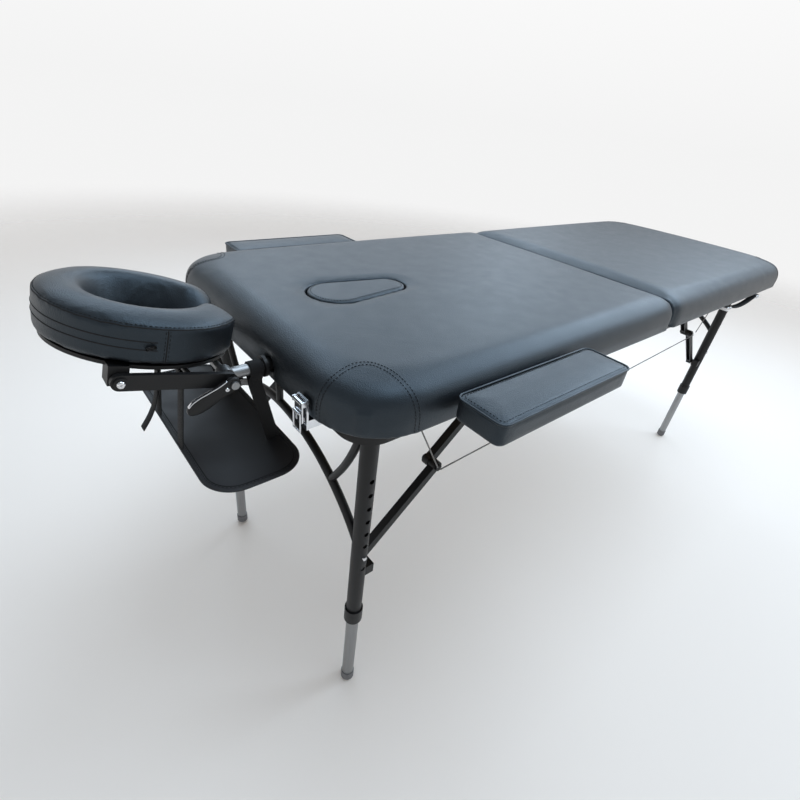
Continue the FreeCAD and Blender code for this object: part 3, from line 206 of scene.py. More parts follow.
def plywood(name, color):
    """Deck board: long pale grain under thin lacquer."""
    material, tree, main = shader(name, color, 0.5)
    grain = texture(tree, "ShaderNodeTexNoise", (1.2, 26, 26), Scale=4.0, Detail=8.0)
    vary_color(tree, main, grain.outputs["Fac"], *shades(color, 0.22))
    vary_roughness(tree, main, grain.outputs["Fac"], 0.42, 0.6)
    bump(tree, main, grain.outputs["Fac"], 0.08, 0.0004)
    return material


# a bluish tint on the leather's reflections: painted colour of the sky light that they reflect
SKY_REFLECTION_TINT = (0.66, 0.84, 1.0)
MATERIALS = {
    "leatherette": leatherette("leatherette_top", (0.0060, 0.0066, 0.0078), 0.38, 0.43, SKY_REFLECTION_TINT),
    # leatherette_side: the top leatherette made about 7 % darker, a painted shade for the face cushion and
    # the parts in this slot
    "leatherette_side": leatherette("leatherette_shaded_side", (0.0056, 0.0061, 0.0072), 0.38, 0.44, SKY_REFLECTION_TINT),
    "black_metal": coated_metal("black_powder_coat", (0.0060, 0.0060, 0.0064), 0.38, 0.48),
    "silver_metal": bare_metal("satin_aluminium", (0.30, 0.305, 0.31), 0.32, 0.44, (60, 60, 2), 9.0),
    "chrome": bare_metal("bright_chrome", (0.72, 0.73, 0.75), 0.08, 0.16, (1, 1, 1), 60.0),
    "black_plastic": moulded("black_plastic", (0.0060, 0.0060, 0.0064), 0.40, 0.52, 1500.0),
    "rubber": moulded("grey_rubber", (0.16, 0.16, 0.165), 0.62, 0.75, 900.0),
    "deck": plywood("deck_ply", (0.33, 0.23, 0.13)),
    "webbing": woven("black_webbing", (0.0065, 0.0065, 0.0070), 900.0),
    "sling_cloth": moulded("sling_cloth", (0.016, 0.016, 0.018), 0.46, 0.58, 700.0),
    "steel_cable": coated_metal("sheathed_cable", (0.16, 0.155, 0.15), 0.35, 0.5),
}
THREAD = woven("sewing_thread", (0.006, 0.006, 0.007), 2600.0)
# a dark tube along a seam or zip line: painted shade in its crease
SEAM_SHADE = moulded("seam_shadow", (0.004, 0.004, 0.005), 0.7, 0.8, 900.0)

for subpart in frame["record"]["subparts"]:
    node = frame["nodes"][subpart["node"]]
    node.data.materials.clear()
    node.data.materials.append(MATERIALS[subpart["material_slot"]])


# Mesh helpers

def linked(name, mesh):
    thing = bpy.data.objects.new(name, mesh)
    scene.collection.objects.link(thing)
    return thing


def built(name, points, faces):
    mesh = bpy.data.meshes.new(name)
    mesh.from_pydata([tuple(p) for p in points], [], faces)
    mesh.validate()
    mesh.update()
    return mesh


def ring_faces(rows, ring):
    """Faces over rows of points that go round in rings, with both ends closed."""
    faces = []
    for row in range(rows - 1):
        for n in range(ring):
            a, b = row * ring + n, row * ring + (n + 1) % ring
            faces.append((a, b, b + ring, a + ring))
    faces.append(tuple(reversed(range(ring))))
    faces.append(tuple(range((rows - 1) * ring, rows * ring)))
    return faces


def baked(thing):
    """The mesh of an object with its modifiers applied."""
    graph = bpy.context.evaluated_depsgraph_get()
    return bpy.data.meshes.new_from_object(thing.evaluated_get(graph))


def finished(thing, material, body):
    """Shade a piece smoothly and let it ride on its body, if one is named."""
    thing.data.materials.clear()
    thing.data.materials.append(material)
    thing.data.polygons.foreach_set("use_smooth", [True] * len(thing.data.polygons))
    if body:
        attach(thing, body)
    return thing


def divided(thing, levels):
    split = thing.modifiers.new("split", "SUBSURF")
    split.levels = split.render_levels = levels
    mesh = baked(thing)
    thing.modifiers.clear()
    thing.data = mesh
    return thing


def smooth_path(points, step, closed=False):
    """Points along a smooth line through the given ones, about a step apart."""
    points = [Vector(p) for p in points]
    count, path = len(points), []
    for n in range(count if closed else count - 1):
        if closed:
            a, b, c, d = (points[(n + shift) % count] for shift in (-1, 0, 1, 2))
        else:
            a, b, c, d = (points[min(max(n + shift, 0), count - 1)] for shift in (-1, 0, 1, 2))
        parts = max(1, round((c - b).length / step))
        for part in range(parts):
            t = part / parts
            bend, twist = 2 * a - 5 * b + 4 * c - d, 3 * b - a - 3 * c + d
            path.append((2 * b + (c - a) * t + bend * t * t + twist * t ** 3) / 2)
    if not closed:
        path.append(points[-1])
    return path


def spaced(points, step):
    """Points about a step apart along a closed line of straight runs."""
    line = []
    for here, there in zip(points, points[1:] + points[:1]):
        parts = max(1, round((there - here).length / step))
        line += [here.lerp(there, n / parts) for n in range(parts)]
    return line


def arc(centre, radius, start, finish, parts=12):
    """Points of a level arc between two angles."""
    angles = [start + (finish - start) * n / parts for n in range(parts + 1)]
    return [Vector(centre) + radius * Vector((math.cos(a), math.sin(a), 0)) for a in angles]


def tangents(path, closed=False):
    count = len(path)
    found = []
    for n in range(count):
        before = path[n - 1] if closed or n else path[0]
        after = path[(n + 1) % count] if closed or n < count - 1 else path[-1]
        found.append((after - before).normalized())
    return found


def swept(name, path, sides, section, closed=False):
    """A section carried along a path; sides gives the section's first axis at each point."""
    points, faces = [], []
    ring = len(section)
    for point, along, side in zip(path, tangents(path, closed), sides):
        across = (side - along * side.dot(along)).normalized()
        up = along.cross(across)
        points += [point + across * u + up * v for u, v in section]
    rows = len(path)
    for row in range(rows if closed else rows - 1):
        for n in range(ring):
            a, b = row * ring + n, row * ring + (n + 1) % ring
            c, d = ((row + 1) % rows) * ring + (n + 1) % ring, ((row + 1) % rows) * ring + n
            faces.append((a, b, c, d))
    if not closed:
        faces.append(tuple(reversed(range(ring))))
        faces.append(tuple(range((rows - 1) * ring, rows * ring)))
    return built(name, points, faces)


def round_section(radius, sides=10):
    return [(radius * math.cos(2 * math.pi * n / sides), radius * math.sin(2 * math.pi * n / sides))
            for n in range(sides)]


def flat_section(width, thick):
    """A strap's cross-section with rolled edges."""
    w, t = width / 2, thick / 2
    return [(w - t, -t), (w - t * 0.3, -t * 0.7), (w, 0), (w - t * 0.3, t * 0.7), (w - t, t),
            (-w + t, t), (-w + t * 0.3, t * 0.7), (-w, 0), (-w + t * 0.3, -t * 0.7), (-w + t, -t)]


def turned(name, profile, centre, axis, sides=20):
    """A round piece from (radius, height) pairs along an axis."""
    axis = Vector(axis).normalized()
    first = axis.orthogonal().normalized()
    second = axis.cross(first)
    points = []
    for radius, height in profile:
        for n in range(sides):
            angle = 2 * math.pi * n / sides
            spoke = first * math.cos(angle) + second * math.sin(angle)
            points.append(Vector(centre) + spoke * radius + axis * height)
    return built(name, points, ring_faces(len(profile), sides))


def joined(name, *meshes):
    """Several meshes as one."""
    points, faces = [], []
    for mesh in meshes:
        start = len(points)
        points += [v.co.copy() for v in mesh.vertices]
        faces += [tuple(start + n for n in face.vertices) for face in mesh.polygons]
    return built(name, points, faces)


# Padding

BLOW_FRAMES = 12


def remeshed(name, mesh, voxel):
    """An object with an even grid over the form of a mesh."""
    thing = linked(name, mesh)
    grid = thing.modifiers.new("grid", "REMESH")
    grid.mode = "VOXEL"
    grid.voxel_size = voxel
    cover = baked(thing)
    thing.modifiers.clear()
    thing.data = cover
    return thing


def eased(thing, rounds, kept):
    """Even out the surface of an object, apart from the points that the test picks."""
    group = thing.vertex_groups.new(name="eased")
    group.add([v.index for v in thing.data.vertices if not kept(v.co)], 1.0, "REPLACE")
    ease = thing.modifiers.new("ease", "SMOOTH")
    ease.factor, ease.iterations, ease.vertex_group = 0.5, rounds, "eased"
    even = baked(thing)
    thing.modifiers.clear()
    thing.data = even


def nowhere(point):
    return False


def padded_form(name, mesh, voxel, shrink, pressure, cap, held=nowhere, soft=(0, nowhere), ease=2, levels=1):
    """Blow a cover up from inside with cloth simulation; points that held picks stay where they are.

    Soft gives the rounds that even out its edges before that and the points left out of them; ease gives the
    rounds that even out its folds afterwards. Blowing moves no point by more than cap.
    """
    thing = remeshed(name, mesh, voxel)
    eased(thing, *soft)
    cover = thing.data
    fixed = {v.index for v in cover.vertices if held(v.co)}
    for vertex, normal in [(v, v.normal.copy()) for v in cover.vertices]:
        if vertex.index not in fixed:
            vertex.co -= normal * shrink
    start = [v.co.copy() for v in cover.vertices]
    group = thing.vertex_groups.new(name="held")
    group.add(sorted(fixed), 1.0, "REPLACE")
    cloth = thing.modifiers.new("cover", "CLOTH")
    cloth.settings.use_pressure = True
    cloth.settings.uniform_pressure_force = pressure
    cloth.settings.effector_weights.gravity = 0
    if fixed:
        cloth.settings.vertex_group_mass = "held"
    cloth.point_cache.frame_start = 1
    cloth.point_cache.frame_end = BLOW_FRAMES
    for number in range(1, BLOW_FRAMES + 1):
        scene.frame_set(number)
    blown = [v.co.copy() for v in baked(thing).vertices]
    thing.modifiers.clear()
    for vertex, before, after in zip(cover.vertices, start, blown):
        move = after - before
        if move.length > cap:
            move *= cap / move.length
        vertex.co = before + move
    eased(thing, ease, held)
    scene.frame_set(1)
    return divided(thing, levels)


def surface_of(thing):
    mesh = thing.data
    return BVHTree.FromPolygons([v.co for v in mesh.vertices], [tuple(p.vertices) for p in mesh.polygons])


def laid(surface, path, closed=False, shift=0.0, lift=0.0):
    """A path laid on a surface, moved sideways along it and lifted off it."""
    spots = [surface.find_nearest(point)[:2] for point in path]
    line = [spot for spot, normal in spots]
    result = []
    for (spot, normal), along in zip(spots, tangents(line, closed)):
        moved, up = surface.find_nearest(spot + normal.cross(along) * shift)[:2]
        result.append((moved + up * lift, up))
    return result


def stitches(name, line, pitch=0.0048, length=0.0034, radius=0.00042):
    """A row of separate thread stitches along a laid line."""
    bits, walked, last = [], 0.0, None
    for spot, up in line:
        if last is not None:
            walked += (spot - last[0]).length
        if last is None or walked >= pitch:
            walked, start = 0.0, (spot, up)
            bits.append([start])
        elif walked <= length:
            bits[-1].append((spot, up))
        last = (spot, up)
    threads = []
    for number, bit in enumerate(bits):
        if len(bit) < 2:
            continue
        (first, up), (end, end_up) = bit[0], bit[-1]
        middle = (first + end) / 2 + up * radius * 0.9
        path = [first - up * radius * 0.6, first.lerp(middle, 0.4) + up * radius * 0.3, middle,
                end.lerp(middle, 0.4) + up * radius * 0.3, end - end_up * radius * 0.6]
        side = up.cross(end - first)
        threads.append(swept(f"{name}_{number}", path, [side] * len(path), round_section(radius, 6)))
    return joined(name, *threads)


def sewn(name, surface, path, body, rows=(0.0,), groove_shade=None, closed=False):
    """Rows of stitches beside a seam line on a padded surface, and, when groove_shade is given, a dark tube
    along the line as painted shade in its crease.
    """
    made = []
    for number, shift in enumerate(rows):
        mesh = stitches(f"{name}_thread_{number}", laid(surface, path, closed, shift, 0.0002))
        made.append(finished(linked(f"{name}_thread_{number}", mesh), THREAD, body))
    # a dark tube along the line: painted shade in the crease of the seam or zip
    if groove_shade is not None:
        line = laid(surface, path, closed, groove_shade, -0.0002)
        mesh = swept(f"{name}_seam", [spot for spot, up in line], [up for spot, up in line],
                     round_section(0.0009, 8), closed)
        made.append(finished(linked(f"{name}_seam", mesh), SEAM_SHADE, body))
    return made


# Table top

HOLLOW_TOP, HOLLOW_Y, HOLLOW_END = 0.7535, 0.3235, 0.9035
RIM_HIGH, SEAM_FACE = 0.0025, 0.004
PAD_VOXEL, PAD_EASE = 0.0055, 60
HOLE_X, HOLE_WIDE, HOLE_NARROW, HOLE_PITCH = -0.735, 0.055, 0.036, 0.125
HOLE_MARGIN = 0.012
# the double seam round a corner patch, at the head end's near corner
PATCH = ((-0.962, -0.262, 0.716), (-0.962, -0.261, 0.745), (-0.940, -0.260, 0.780), (-0.915, -0.258, 0.800),
         (-0.886, -0.254, 0.800), (-0.862, -0.254, 0.800), (-0.845, -0.263, 0.800), (-0.836, -0.284, 0.800),
         (-0.832, -0.310, 0.800), (-0.829, -0.345, 0.785), (-0.827, -0.372, 0.745), (-0.827, -0.372, 0.716))
PATCH_ROWS = (-0.0035, 0.0035)


def pad_held(side):
    """A test for a pad's points that stay put: the hollow underneath, the lower rim and the seam face."""
    def test(point):
        along = (point.x - HINGE) * side
        under = point.z < HOLLOW_TOP and abs(point.y) < HOLLOW_Y and along < HOLLOW_END
        return under or point.z < PAD_LOW + RIM_HIGH or along < SEAM_FACE
    return test


def by_hole(point):
    """Points of the head pad round the face hole."""
    along = min(max(point.x - HINGE - HOLE_X, 0.0), HOLE_PITCH)
    return (Vector((point.x, point.y, 0)) - at(HOLE_X + along, 0, 0)).length < HOLE_WIDE + HOLE_MARGIN


for end, side in ENDS.items():
    node = f"{end}_pad"
    held = pad_held(side)
    pad = padded_form(f"{end}_cover", frame["nodes"][node].data.copy(), PAD_VOXEL, 0.0010, 1.5, 0.0025, held,
                      (PAD_EASE, lambda point: held(point) or by_hole(point)), PAD_EASE // 4)
    finished(pad, MATERIALS["leatherette"], f"{end}_section")
    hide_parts(node)
    top = surface_of(pad)
    for place, sign in SIDES.items():
        corner = [at(-side * x, -sign * y, z) for x, y, z in PATCH]
        path = smooth_path(corner, SEAM_STEP)
        sewn(f"{end}_{place}_patch", top, path, f"{end}_section", PATCH_ROWS)


# Plug in the face hole

PLUG_SOFT, PLUG_SEAM = 0.012, 0.0075


def egg_path(inset, z):
    """The face hole's outline moved inwards: a wide round end, a narrow one and straight flanks."""
    turn = math.acos((HOLE_WIDE - HOLE_NARROW) / HOLE_PITCH)
    wide = arc(at(HOLE_X, 0, z), HOLE_WIDE - inset, turn, 2 * math.pi - turn, 40)
    narrow = arc(at(HOLE_X + HOLE_PITCH, 0, z), HOLE_NARROW - inset, -turn, turn, 30)
    return spaced(wide + narrow, SEAM_STEP)


plug = padded_form("hole_plug", frame["nodes"]["face_hole_plug"].data.copy(), 0.003, 0.0012, 2.0, 0.0010,
                   lambda point: point.z < TOP - PLUG_SOFT)
finished(plug, MATERIALS["leatherette"], "plug")
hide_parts("face_hole_plug")
sewn("plug_rim", surface_of(plug), egg_path(PLUG_SEAM, TOP + 0.004), "plug", closed=True)


# Face cushion, in the cradle's tilted frame

RING, LOBE, HALF, LOBE_END = 0.086, 0.110, 0.036, math.radians(39.5)
CUSHION_AHEAD = 0.075
RING_AHEAD = RING + HALF - CUSHION_AHEAD
CUSHION_LOW, TIP_STEPS = 0.0195, 12
ZIP_RISES, ZIP_PULL_RISE = {"low": 0.024, "high": 0.035}, 0.030
UPRIGHT_X, UPRIGHT_RISE, UPRIGHT_HIGH, UPRIGHT_ROWS = 0.004, 0.004, 0.0485, (-0.0028, 0.0028)


def cradle(along, across, rise):
    """A point of the cradle: along from the front rivets to the table, across, and up from the arms."""
    spin = Matrix.Rotation(ARM_TILT, 3, "Y")
    return at(RIVET_X, 0, RIVET_Z) + spin @ Vector((along, across, rise))


def horseshoe_line(offset, shift=0.0, steps=26):
    """The outline at an offset from the cushion's middle line, which may be shifted outwards.

    It runs along the outer side, round one tip, back along the inner side and round the other tip.
    """
    middle = []
    for n in range(steps + 1):
        angle = LOBE_END + (math.pi / 2 - LOBE_END) * n / steps
        middle.append((LOBE * math.cos(angle), RING - LOBE + LOBE * math.sin(angle), angle))
    for n in range(1, 2 * steps):
        angle = math.pi / 2 + math.pi * n / (2 * steps)
        middle.append((RING * math.cos(angle), RING * math.sin(angle), angle))
    for n in range(steps + 1):
        angle = -math.pi / 2 + (math.pi / 2 - LOBE_END) * n / steps
        middle.append((LOBE * math.cos(angle), -(RING - LOBE) + LOBE * math.sin(angle), angle))
    middle = [(x + shift * math.cos(a), y + shift * math.sin(a), a) for x, y, a in middle]
    outer = [(x + offset * math.cos(a), y + offset * math.sin(a)) for x, y, a in middle]
    inner = [(x - offset * math.cos(a), y - offset * math.sin(a)) for x, y, a in reversed(middle)]

    def tip(point, start):
        x, y, angle = point
        turns = [angle + start + math.pi * n / TIP_STEPS for n in range(1, TIP_STEPS)]
        return [(x + offset * math.cos(turn), y + offset * math.sin(turn)) for turn in turns]

    steps_in = [n / TIP_STEPS for n in range(1, TIP_STEPS)]
    share = [0.0] * len(outer) + steps_in + [1.0] * len(inner) + steps_in[::-1]
    return outer + tip(middle[-1], 0) + inner + tip(middle[0], math.pi), share


# each ring of the section: offset from the middle line, its shift outwards, height outside, height inside
CUSHION_SECTION = ((0.0020, 0.0, 0.0, 0.0), (0.0290, 0.0, 0.0, 0.0), (0.0335, 0.0, 0.0020, 0.0020),
                   (0.0355, 0.0, 0.0070, 0.0060), (0.0360, 0.0, 0.0220, 0.0110),
                   (0.0362, 0.0, 0.0400, 0.0160), (0.0360, 0.0, 0.0530, 0.0210),
                   (0.0335, -0.0003, 0.0562, 0.0285), (0.0290, -0.0010, 0.0590, 0.0375),
                   (0.0225, -0.0025, 0.0622, 0.0490), (0.0150, -0.0042, 0.0648, 0.0590),
                   (0.0080, -0.0056, 0.0664, 0.0645), (0.0020, -0.0065, 0.0670, 0.0668))


def cushion_mesh():
    points = []
    for offset, shift, outer_rise, inner_rise in CUSHION_SECTION:
        line, share = horseshoe_line(offset, shift)
        for (x, y), inward in zip(line, share):
            rise = outer_rise + (inner_rise - outer_rise) * inward
            points.append(cradle(RING_AHEAD + x, y, CUSHION_LOW + rise))
    return built("face_cushion_cover", points, ring_faces(len(CUSHION_SECTION), len(share)))


def cushion_path(offset, outer_rise, inner_rise, keep=lambda x, y, inward: True):
    """A line round the cushion at an offset, at one height outside and another inside."""
    line, share = horseshoe_line(offset)
    return [cradle(RING_AHEAD + x, y, CUSHION_LOW + outer_rise + (inner_rise - outer_rise) * inward)
            for (x, y), inward in zip(line, share) if keep(x, y, inward)]


def zip_side(x, y, inward):
    """The stretch of the outer band from the near seam round the front to the far lobe."""
    return inward < 0.02 and not (x > 0 and y < 0)


def zip_puller():
    tab = [cradle(RING_AHEAD + along, -RING - HALF - 0.0022, CUSHION_LOW + ZIP_PULL_RISE + rise)
           for along, rise in ((-0.010, 0.0), (-0.016, -0.001), (-0.022, -0.0035))]
    mesh = swept("zip_puller", tab, [Vector((0, 1, 0))] * len(tab), flat_section(0.0016, 0.0042))
    finished(linked("zip_puller", mesh), MATERIALS["black_metal"], "cradle_headrest")


cushion = padded_form("face_cushion_cover", cushion_mesh(), 0.0035, 0.001, 4.0, 0.003)
finished(cushion, MATERIALS["leatherette_side"], "cradle_headrest")
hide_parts("face_cushion")
cushion_skin = surface_of(cushion)
top_seam = smooth_path(cushion_path(HALF + 0.002, 0.0545, 0.0215), SEAM_STEP, True)
sewn("cushion_top_seam", cushion_skin, top_seam, "cradle_headrest", (0.0030,), 0.0, True)
for place, rise in ZIP_RISES.items():
    path = smooth_path(cushion_path(HALF + 0.004, rise, rise, zip_side), SEAM_STEP)
    sewn(f"cushion_zip_{place}", cushion_skin, path, "cradle_headrest", (), 0.0)
rises = [CUSHION_LOW + UPRIGHT_RISE + UPRIGHT_HIGH * n / 10 for n in range(11)]
upright = [cradle(RING_AHEAD + UPRIGHT_X, -RING - HALF - 0.004, rise) for rise in rises]
sewn("cushion_upright", cushion_skin, smooth_path(upright, SEAM_STEP), "cradle_headrest",
     UPRIGHT_ROWS, 0.0)
zip_puller()


# Arm rests: one padded block each, over its board

CORNERS = ((1, 1, 0), (-1, 1, 90), (-1, -1, 180), (1, -1, 270))
CORNER_POINTS = 9


def rounded_block(name, centre, size, corner, edge, low_edge, crown):
    """A block with round corners in plan, a rolled top edge and a crowned top."""
    length, width, height = size
    points = []
    rows = [(low_edge, 0.0), (low_edge * 0.3, low_edge * 0.3), (0.0, low_edge), (0.0, height - edge - crown)]
    for n in range(1, 6):
        angle = math.pi / 2 * n / 5
        rows.append((edge * (1 - math.cos(angle)), height - crown - edge + edge * math.sin(angle)))
    for share in (0.25, 0.5, 0.75):
        rows.append((edge + (width / 2 - edge) * share, height - crown * (1 - share) ** 2))
    for inset, rise in rows:
        radius = max(corner - inset, 0.002)
        for cx, cy, start in CORNERS:
            for n in range(CORNER_POINTS):
                angle = math.radians(start + 90 * n / (CORNER_POINTS - 1))
                x = cx * (length / 2 - inset - radius) + radius * math.cos(angle)
                y = cy * (width / 2 - inset - radius) + radius * math.sin(angle)
                points.append(Vector(centre) + Vector((x, y, rise)))
    return built(name, points, ring_faces(len(rows), len(CORNERS) * CORNER_POINTS))


def plan_path(centre, length, width, corner, step=SEAM_STEP):
    """A closed line with round corners in plan, its points about a step apart."""
    points = []
    for cx, cy, start in CORNERS:
        middle = Vector(centre) + Vector((cx * (length / 2 - corner), cy * (width / 2 - corner), 0))
        points += arc(middle, corner, math.radians(start), math.radians(start + 90))
    return spaced(points, step)


REST_CORNER, REST_EDGE, REST_LOW_EDGE, REST_CROWN = 0.014, 0.004, 0.004, 0.003
REST_SEAM, REST_HELD, WELT_RADIUS, WELT_INSET, WELT_DROP = 0.0065, 0.003, 0.0017, 0.00075, 0.0012
for place, sign in SIDES.items():
    name = body = f"armrest_{place}"
    centre = at(REST_X, sign * REST_Y, REST_LOW)
    length, width, height = REST_SIZE
    mesh = rounded_block(f"{name}_cover", centre, REST_SIZE, REST_CORNER, REST_EDGE, REST_LOW_EDGE,
                         REST_CROWN)
    rest = padded_form(f"{name}_cover", mesh, 0.0026, 0.0005, 3.0, 0.0011,
                       lambda point: point.z < REST_LOW + REST_HELD)
    finished(rest, MATERIALS["leatherette"], body)
    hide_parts(f"{name}_cushion")
    line = plan_path(centre + Vector((0, 0, height + 0.003)), length - 2 * REST_SEAM, width - 2 * REST_SEAM,
                     REST_CORNER - REST_SEAM)
    sewn(f"{name}_top", surface_of(rest), line, body, closed=True)
    rim = plan_path(centre + Vector((0, 0, height - REST_CROWN - WELT_DROP)), length - 2 * WELT_INSET,
                    width - 2 * WELT_INSET, REST_CORNER, 0.003)
    welt = swept(f"{name}_welt", rim, [Vector((0, 0, 1))] * len(rim), round_section(WELT_RADIUS), True)
    finished(linked(f"{name}_welt", welt), MATERIALS["leatherette"], body)


# Sling: a stiffened cloth panel with a sewn hem, hung on webbing

SLING_DIP, SLING_THICK, HEM_INSET, HEM_GROOVE_SHADE = 0.004, 0.0056, 0.007, 0.0030


def sling_height(x, y):
    """The panel dips a little between its straps."""
    u, v = x / (SLING_WIDE / 2), y / (SLING_LONG / 2)
    return SLING_Z - SLING_DIP * (1 - u * u) * (1 - 0.5 * v * v)


def sling_mesh():
    points = []
    shares = (0.06, 0.3, 0.55, 0.78, 0.92, 0.985, 1.0)
    outline = plan_path((0, 0, 0), SLING_WIDE, SLING_LONG, SLING_CORNER, 0.016)
    for level in (1, -1):
        for share in shares if level > 0 else reversed(shares):
            for p in outline:
                x, y = p.x * share, p.y * share
                edge = 0.35 if share == 1.0 else 1.0
                points.append(at(SLING_X + x, y, sling_height(x, y) + level * edge * SLING_THICK / 2))
    faces = ring_faces(2 * len(shares), len(outline))
    return built("sling_cover", points, [face[::-1] for face in faces])


sling = divided(linked("sling_cover", sling_mesh()), 2)
finished(sling, MATERIALS["sling_cloth"], "cradle")
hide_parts("sling_panel")
hem_plan = plan_path((0, 0, 0), SLING_WIDE - 2 * HEM_INSET, SLING_LONG - 2 * HEM_INSET,
                     SLING_CORNER - HEM_INSET)
hem = [at(SLING_X + p.x, p.y, SLING_Z + 0.003) for p in hem_plan]
hem_rows = sewn("sling_hem", surface_of(sling), hem, "cradle", groove_shade=HEM_GROOVE_SHADE, closed=True)

REAR_X, REAR_LEAN, REAR_BEND, REAR_RING = -0.947, 0.22, 0.704, 0.0115
FRONT_Y, FRONT_LEAN, FRONT_BEND, FRONT_RING = 0.055, 0.13, 0.724, 0.0058
STRAP_FOOT, FOLDED = SLING_Z + 0.001, 0.06


def strap(name, points, across, width, thick, body, nodes=()):
    path = smooth_path(points, 0.004)
    mesh = swept(name, path, [Vector(across)] * len(path), flat_section(width, thick))
    thing = finished(linked(name, mesh), MATERIALS["webbing"], body)
    if nodes:
        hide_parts(*nodes)
    return thing


def hung_on_rod(thing):
    """Bake a strap's placement into its mesh; it rides on no body."""
    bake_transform(thing)


def rear_loop():
    """A rear strap's line up from the sling, round a dowel and down again: across and height."""
    ring, slope = REAR_RING, REAR_RING * 0.72
    rise = [(0.0014, STRAP_FOOT), (0.0014, 0.660), (0.0016, REAR_BEND), (ring * 0.8, 0.7225), (ring, DOWEL_Z)]
    over = [(slope, DOWEL_Z + slope), (0, DOWEL_Z + ring), (-slope, DOWEL_Z + slope)]
    fall = [(-ring, DOWEL_Z), (-ring * 0.8, 0.7225), (-0.0016, REAR_BEND), (-0.0014, 0.686), (-0.0014, 0.672)]
    return rise + over + fall


def front_loop():
    """A front strap's line up from the sling, over the rod and down again: along and height."""
    rise = [(0.0012, STRAP_FOOT), (0.0012, 0.665), (0.0016, FRONT_BEND), (FRONT_RING, ROD_Z)]
    return rise + [(0, ROD_Z + FRONT_RING), (-FRONT_RING, ROD_Z), (-0.0016, FRONT_BEND), (-0.0012, 0.708)]


def rear_x(z):
    """Where the rear straps hang at a height; they lean towards the table below the dowels."""
    return REAR_X + REAR_LEAN * max(0.0, REAR_BEND - z)


def front_x(z):
    """Where the front straps hang at a height; they lean forward below the rod."""
    return ROD_X - FRONT_LEAN * max(0.0, FRONT_BEND - z)


for place, sign in SIDES.items():
    y = sign * DOWEL_Y
    points = [at(rear_x(z), y + sign * across, z) for across, z in rear_loop()]
    nodes = ("sling_rear_straps",) if place == "near" else ()
    rear = strap(f"rear_strap_{place}", points, (1, 0, 0), 0.022, 0.0022, "cradle", nodes)
    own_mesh(rear)
    points = [at(front_x(z) + along, sign * FRONT_Y, z) for along, z in front_loop()]
    nodes = ("sling_front_straps",) if place == "near" else ()
    hung_on_rod(strap(f"front_strap_{place}", points, (0, 1, 0), 0.024, 0.0020, None, nodes))
TAIL = ((-1.0450, 0.722), (-1.0490, 0.680), (-1.0550, 0.640),
        (-1.0625, 0.612), (-1.0730, 0.590), (-1.0880, 0.568))
tail = [at(x, FRONT_Y, z) for x, z in TAIL]
hung_on_rod(strap("strap_tail", tail, (0, 1, 0), 0.018, 0.0018, None))
for thing in (sling, *hem_rows):
    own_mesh(thing)


# Taut cables under the top

KNEE_X, KNEE_Z, CABLE_Y = 0.6602, 0.5175, {"head": 0.2705, "foot": 0.2305}
CABLE_MIDDLE_Y, CABLE_START, CABLE_DECK_X, CABLE_DECK_Z = 0.2505, 0.009, 0.790, 0.742
CABLE_PARTS, CABLE_RADIUS, CABLE_FOLDED_Z = 12, 0.0014, 0.690


def cable(name, start, finish):
    path = [start.lerp(finish, n / CABLE_PARTS) for n in range(CABLE_PARTS + 1)]
    return swept(name, path, [Vector((0, 1, 0))] * len(path), round_section(CABLE_RADIUS))


for end, side in ENDS.items():
    cables = []
    for place, sign in SIDES.items():
        y = sign * CABLE_Y[end]
        knee, seam = at(side * KNEE_X, y, KNEE_Z), at(side * 0.001, sign * CABLE_MIDDLE_Y, KNEE_Z)
        above = at(side * (KNEE_X + CABLE_START), y, KNEE_Z + CABLE_START)
        deck = at(side * CABLE_DECK_X, y, CABLE_DECK_Z)
        cables.append(cable(f"{end}_cable_{place}_0", knee, seam))
        cables.append(cable(f"{end}_cable_{place}_1", above, deck))
    cable_set = linked(f"{end}_cable_set", joined(f"{end}_cable_set", *cables))
    finished(cable_set, MATERIALS["steel_cable"], f"{end}_section")
    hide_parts(f"{end}_cables")
    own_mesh(cable_set)


# Carry handles: a webbing grip between two plated ends

HANDLE_X, HANDLE_Y, HANDLE_TOP, HANDLE_SAG, HANDLE_HALF = 0.560, -0.337, 0.703, 0.017, 0.125
GRIP_PARTS, GRIP_END_GAP = 12, 0.008
GRIP_END_Y, GRIP_END_LOW, GRIP_END_SIZE, GRIP_END_OUT = -0.334, 0.692, (0.030, 0.0275, 0.013), 0.007
GRIP_SCREW = ((0.0045, 0.0), (0.0045, 0.0012), (0.0032, 0.0024), (0.0008, 0.0028))
for end, side in ENDS.items():
    middle = side * HANDLE_X
    steps = [n / GRIP_PARTS * (HANDLE_HALF - GRIP_END_GAP) for n in range(-GRIP_PARTS, GRIP_PARTS + 1)]
    bow = [at(middle + x, HANDLE_Y, HANDLE_TOP - HANDLE_SAG * (1 - (x / HANDLE_HALF) ** 2)) for x in steps]
    grip = strap(f"{end}_grip", bow, (0, 1, 0), 0.018, 0.0042, f"{end}_section")
    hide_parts(f"{end}_carry_handle")
    ends = []
    for sign in (-1, 1):
        x = middle + sign * (HANDLE_HALF + GRIP_END_OUT)
        ends.append(rounded_block(f"{end}_grip_end", at(x, GRIP_END_Y, GRIP_END_LOW), GRIP_END_SIZE,
                                  0.005, 0.003, 0.002, 0.001))
        ends.append(turned(f"{end}_grip_screw", GRIP_SCREW, at(x, -0.3475, 0.6985), (0, -1, 0)))
    grip_ends = linked(f"{end}_grip_ends", joined(f"{end}_grip_ends", *ends))
    finished(grip_ends, MATERIALS["chrome"], f"{end}_section")


# Cam lever: a flat leaf with a bright upper edge

LEVER_LEAN, LEVER_Y, LEAF_THICK, LEAF_RING = math.radians(24), -0.134, 0.0088, 16
